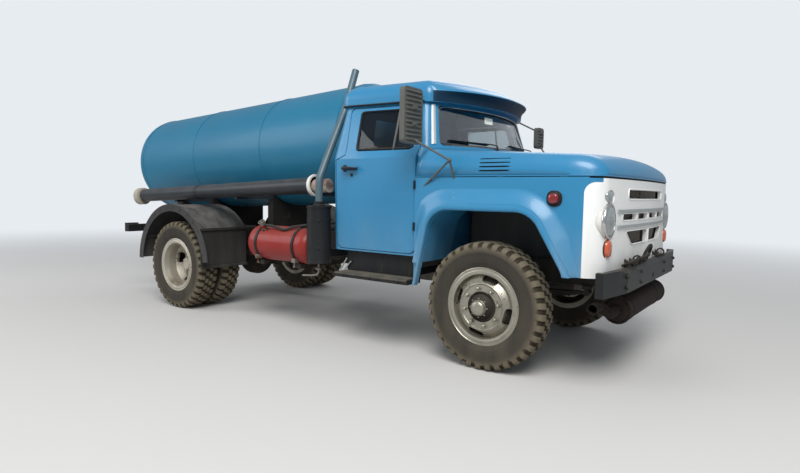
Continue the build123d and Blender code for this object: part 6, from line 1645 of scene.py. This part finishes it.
@dataclass
class TankBody:
    """Weld seams, hatch bolts and grip, the ribbed hoses, carrier bands and the gas bottle's fittings."""

    tilt: float = radians(2.6)
    front: Pair = (FRONT_AXLE - 1.75, 1.861)
    hatch_face: float = 3.74 + 0.178 + 0.03
    hatch_rise: float = 0.02
    hose_y: float = 0.905
    hose_drop: float = -0.46
    carrier: Pair = (0.11, 0.11 + 3.01)
    hose_reach: Pair = (0.175, 0.12)
    bottle_x: Pair = (FRONT_AXLE - 2.61, FRONT_AXLE - 1.752)
    bottle_y: float = -0.965
    bottle_z: float = 0.822
    bottle_radius: float = 0.172
    canister_x: float = FRONT_AXLE - 1.64
    canister_y: float = -1.065

    def at(self, along: float, across: float = 0.0, up: float = 0.0) -> Array:
        """A place given along the tank's axis from its front, across to the left, and up from it."""
        x = self.front[0] - along * cos(self.tilt) - up * sin(self.tilt)
        z = self.front[1] - along * sin(self.tilt) + up * cos(self.tilt)
        return np.array([x, across, z])

    @property
    def axis(self) -> Point:
        """The direction from the tank's front to its rear."""
        return (-cos(self.tilt), 0.0, -sin(self.tilt))

    def welds(self) -> None:
        """Rounded weld beads round the barrel where the sheets and the dished ends meet."""
        shape = Shape()
        turn = full_turn(180)
        ripple = 0.6265 + 0.0008 * np.sin(turn * 90)
        for along in (0.105, 1.25, 2.49, 3.635):
            loop = [self.at(along, r * cos(t), r * sin(t)) for t, r in zip(turn, ripple)]
            shape.tube(loop, 0.0052, 6, closed=True)
        shape.build("tank_welds", [TANK_BLUE], "tank_paint", smooth=60)

    def hatch(self) -> None:
        """Swing bolts round the lid, apart from the hinge's place, and its lifting grip."""
        shape = Shape()
        face = self.hatch_face
        for y, up in circle(10, 0.262, 0.31):
            if y > 0.2 and abs(up) < 0.14:
                continue
            up = self.hatch_rise + up
            shape.tube([self.at(face - 0.015, y, up), self.at(face + 0.044, y, up)], 0.0075, 8)
            shape.revolve([(0, 0), (0.019, 0), (0.019, 0.014), (0, 0.016)],
                          self.at(face + 0.0165, y, up), self.axis, 6)
        shape.build("hatch_bolts", [STEEL], "valve_metal")
        grip = Shape()
        bends = ((0.012, -0.055), (0.055, -0.05), (0.055, 0.09), (0.012, 0.095))
        path = [self.at(face + out, -0.15, up) for out, up in bends]
        grip.tube(rounded_path(path, 0.02, 5), 0.008, 10)
        grip.build("hatch_grip", [STEEL], "tank_paint", "hatch_lid")

    def hoses(self) -> None:
        """The corrugated hose ends, pale at the rear and rosy at the front, with cuffs and clamps."""
        shape = Shape()
        start, end = self.carrier
        mouth = [(0.084, -0.006), (0.101, -0.006), (0.104, 0.004), (0.104, 0.018), (0.101, 0.027),
                 (0.084, 0.027), (0.08, 0.01)]
        clamp = [(0.077, 0), (0.0815, 0.001), (0.0815, 0.017), (0.077, 0.018)]
        cuff = [(0, -0.095), (0.07, -0.092), (0.0945, -0.086), (0.0955, -0.07), (0.0935, -0.06),
                (0.0935, -0.02), (0.096, -0.01), (0.095, 0.004), (0.082, 0.0075), (0.055, 0.006),
                (0.05, -0.03), (0, -0.032)]
        for side in SIDE_NAMES:
            y = side * self.hose_y
            for low, high, slot in ((start - self.hose_reach[0], start, 1),
                                    (end, end + self.hose_reach[1], 0)):
                along = np.arange(low, high, 0.003)
                path = [self.at(a, y, self.hose_drop) for a in along]
                shape.tube(path, 0.0535 + 0.003 * np.cos(along * 2 * pi / 0.018), 28, slot)
            shape.hoop(mouth, self.at(start, y, self.hose_drop), self.axis, 48, 2)
            for along in (1.93, 1.965):
                shape.hoop(clamp, self.at(along, y, self.hose_drop), self.axis, 40, 3)
            tip = self.at(end + self.hose_reach[1] - 0.005, y, self.hose_drop)
            shape.revolve(cuff, tip, self.axis, 48)
        shape.build("hose_ends", [HOSE_BEIGE, HOSE_ROSE, PLAIN_WHITE, CARRIER], "hose_rubber", smooth=60)

    def straps(self, shape: Shape) -> None:
        """Two straps round the gas bottle, each with its clamp block, rod and bolt."""
        y, z, radius = self.bottle_y, self.bottle_z, self.bottle_radius
        turn = -2.35
        profile = [(radius - 0.004, -0.017), (radius + 0.0065, -0.017), (radius + 0.0085, -0.012),
                   (radius + 0.0085, 0.012), (radius + 0.0065, 0.017), (radius - 0.004, 0.017)]
        across, rise = y + (radius + 0.016) * cos(turn), z + (radius + 0.016) * sin(turn)
        for x in (self.bottle_x[0] + 0.17, self.bottle_x[1] - 0.17):
            shape.hoop(profile, (x, y, z), (1, 0, 0), 64)
            shape.block((x - 0.024, across - 0.02, rise - 0.02), (x + 0.024, across + 0.02, rise + 0.02), 1)
            shape.tube([(x, across - 0.004, rise - 0.06), (x, across, rise + 0.045)], 0.0075, 8, 1)
            bolt(shape, (x, across - 0.004, rise - 0.052), (0, 0, -1), 0.013, 1)

    def bottle(self) -> None:
        """The red gas bottle's straps, its valve with a handwheel, and the pipe along its top."""
        shape = Shape()
        self.straps(shape)
        (rear, front), y, z = self.bottle_x, self.bottle_y, self.bottle_z
        x, turn = rear + 0.235, radians(35.0)
        along = np.array([1, 0, 0])
        out = np.array([0, -sin(turn), cos(turn)])
        foot = np.array([x, y, z]) + out * (self.bottle_radius - 0.002)
        valve = [(0, 0), (0.038, 0), (0.038, 0.012), (0.024, 0.018), (0.024, 0.052), (0.03, 0.056),
                 (0.03, 0.07), (0.012, 0.074), (0.012, 0.094), (0, 0.094)]
        shape.revolve(valve, foot, out, 24, 1)
        wheel = full_turn(24)[:, None]
        hub = foot + out * 0.09
        loop = hub + 0.03 * (np.cos(wheel) * along + np.sin(wheel) * np.cross(out, along))
        shape.tube(loop, 0.006, 8, 1, closed=True)
        shape.tube([hub - 0.03 * along, hub + 0.03 * along], 0.0045, 6, 1)
        pipe = [foot + out * 0.04, foot + out * 0.045 + (0.07, -0.01, 0.006), (x + 0.16, y - 0.11, z + 0.17),
                (x + 0.3, y - 0.12, z + 0.15), (x + 0.4, y - 0.085, z + 0.18),
                (front - 0.08, y - 0.02, z + 0.2), (front + 0.02, y + 0.02, z + 0.21)]
        shape.tube(curve_through(pipe, 48), 0.0125, 10, 2)
        shape.build("bottle_fittings", [BLACK, STEEL, RUBBER], "valve_metal", bevel=0.0015)

    def canister(self) -> None:
        """The canister's rims, clamp bands with bolts, lid with its bolts, and the drain pipe below."""
        shape = Shape()
        x, y, lid = self.canister_x, self.canister_y, 1.207
        up = (0, 0, 1)
        rim = [(0.104, -0.01), (0.1125, -0.01), (0.114, -0.004), (0.114, 0.004), (0.1125, 0.01),
               (0.104, 0.01)]
        for z in (0.7, 1.196):
            shape.hoop(rim, (x, y, z), up, 48)
        for z in (0.83, 1.08):
            shape.hoop(band(0.104, 0.1105, -0.016, 0.016), (x, y, z), up, 48)
            bolt(shape, (x + 0.078, y - 0.078, z), (1, -1, 0), 0.009)
        cap = [(0, 0), (0.058, 0), (0.058, 0.01), (0.046, 0.014), (0.044, 0.04), (0.034, 0.044), (0, 0.044)]
        shape.revolve(cap, (x, y, lid), up, 32)
        for across, rise in circle(5, 0.085, 0.4):
            bolt(shape, (x + across, y + rise, lid), up, 0.007)
        drain = [(x, y, 0.692), (x, y, 0.612), (x - 0.01, y, 0.582), (x - 0.05, y, 0.569),
                 (x - 0.207, y, 0.554)]
        shape.tube(rounded_path(drain, 0.02), 0.0085, 8, 1)
        shape.hoop(band(0, 0.026, -0.007, 0.007), (x, y, 0.632), up, 24, 1)
        shape.build("canister_fittings", [BLACK, STEEL], "black_paint")

    def build(self) -> None:
        """Build the tank body's details."""
        self.welds()
        self.hatch()
        self.hoses()
        self.bottle()
        self.canister()


@dataclass
class LowerBody:
    """Step boards, guard ribs, the rear valve's handwheel and the silencer's bands."""

    step_x: Pair = (FRONT_AXLE - 0.6, FRONT_AXLE - 1.385)
    step_y: float = 1.135
    guard_z: float = 0.505
    guard_side: float = 1.205
    valve_x: float = -3.39 + 0.092
    valve_z: float = 1.29
    silencer: Pair = (FRONT_AXLE + 0.85, 0.5)

    def steps(self) -> None:
        """Ribbed tread on each step board, a rolled outer edge, gussets under it and two light stays."""
        shape = Shape()
        front, rear = self.step_x
        for side in SIDE_NAMES:
            outer = side * self.step_y
            shape.tube([(front - 0.004, outer, 0.633), (rear + 0.004, outer, 0.633)], 0.0085, 8)
            for k in range(6):
                y = side * (1.11 - 0.024 * k)
                shape.tube([(front - 0.02, y, 0.641), (rear + 0.02, y, 0.641)], 0.0042, 6)
            for x in (front - 0.1, (front + rear) / 2, rear + 0.1):
                bolt(shape, (x, outer + side * 0.002, 0.618), (0, side, 0), 0.009, 1)
                strut = [(x, side * 0.95, 0.86), (x, side * 0.952, 0.7), (x, side * 0.958, 0.65)]
                shape.tube(strut, 0.0085, 6, 1)
            for x, top in ((rear + 0.003, 0.745), (rear + 0.05, 0.72)):
                shape.tube([(x, side * 0.97, top), (x - 0.095, side * 0.97, 0.612)], 0.007, 8, 2)
        shape.build("step_treads", [STEP, CHASSIS, BARS], "black_paint")

    def guards(self) -> None:
        """Rivets along each rear guard's skirt and ribs over its sheet."""
        shape = Shape()
        rivets, ribs = 0.632, 0.6655
        turn = np.radians(np.linspace(40, 172, 40))
        for side in SIDE_NAMES:
            for angle in np.radians(np.arange(14, 176, 12)):
                place = (REAR_AXLE + rivets * cos(angle), side * self.guard_side,
                         self.guard_z + rivets * sin(angle))
                bolt(shape, place, (0, side, 0), 0.007)
            for y in (0.7, 0.9, 1.1):
                arc = places(REAR_AXLE + ribs * np.cos(turn), side * y, self.guard_z + ribs * np.sin(turn))
                shape.tube(arc, 0.0045, 6)
        shape.build("guard_ribs", [GUARD], "black_paint")

    def valve(self) -> None:
        """The suction valve's handwheel on its stem, and its flange's bolts."""
        shape = Shape()
        x, z = self.valve_x, self.valve_z
        shape.tube([(x, 0, z + 0.13), (x, 0, z + 0.205)], 0.009, 10)
        turn = full_turn(36)
        shape.tube(places(x + 0.078 * np.cos(turn), 0.078 * np.sin(turn), z + 0.2), 0.0085, 8, 1, closed=True)
        for across, aside in circle(4, 0.076, 0.4):
            shape.tube([(x, 0, z + 0.196), (x + across, aside, z + 0.2)], 0.006, 6, 1)
        for across, rise in circle(8, 0.068, 0.39):
            bolt(shape, (-3.34, across, z + rise), (1, 0, 0), 0.007)
        shape.build("valve_handwheel", [STEEL, RED], "valve_metal")

    def exhaust(self) -> None:
        """Rolled seams and clamps round the silencer under the nose."""
        shape = Shape()
        x, z = self.silencer
        seam = [(0.09, -0.01), (0.1015, -0.008), (0.1035, 0), (0.1015, 0.008), (0.09, 0.01)]
        clamp = band(0.0975, 0.101, -0.014, 0.014)
        for y, profile in ((-0.505, seam), (0.625, seam), (-0.392, clamp), (0.392, clamp)):
            shape.hoop(profile, (x, y, z), (0, 1, 0), 40)
        shape.build("silencer_bands", [RUST], "rusty_steel")

    def build(self) -> None:
        """Build the lower body's details."""
        self.steps()
        self.guards()
        self.valve()
        self.exhaust()


# The whole truck


def main() -> None:
    """Build the studio and every sub-assembly in order, and report each."""
    logging.basicConfig(level=logging.INFO, format="%(name)s: %(message)s")
    Studio().build()
    dress_frame()
    for part in (Wheels, FrontBody, Lamps, NoseDetails, Cab, TankBody, LowerBody):
        LOG.info("building %s", part.__name__)
        part().build()


if __name__ == "__main__":
    main()
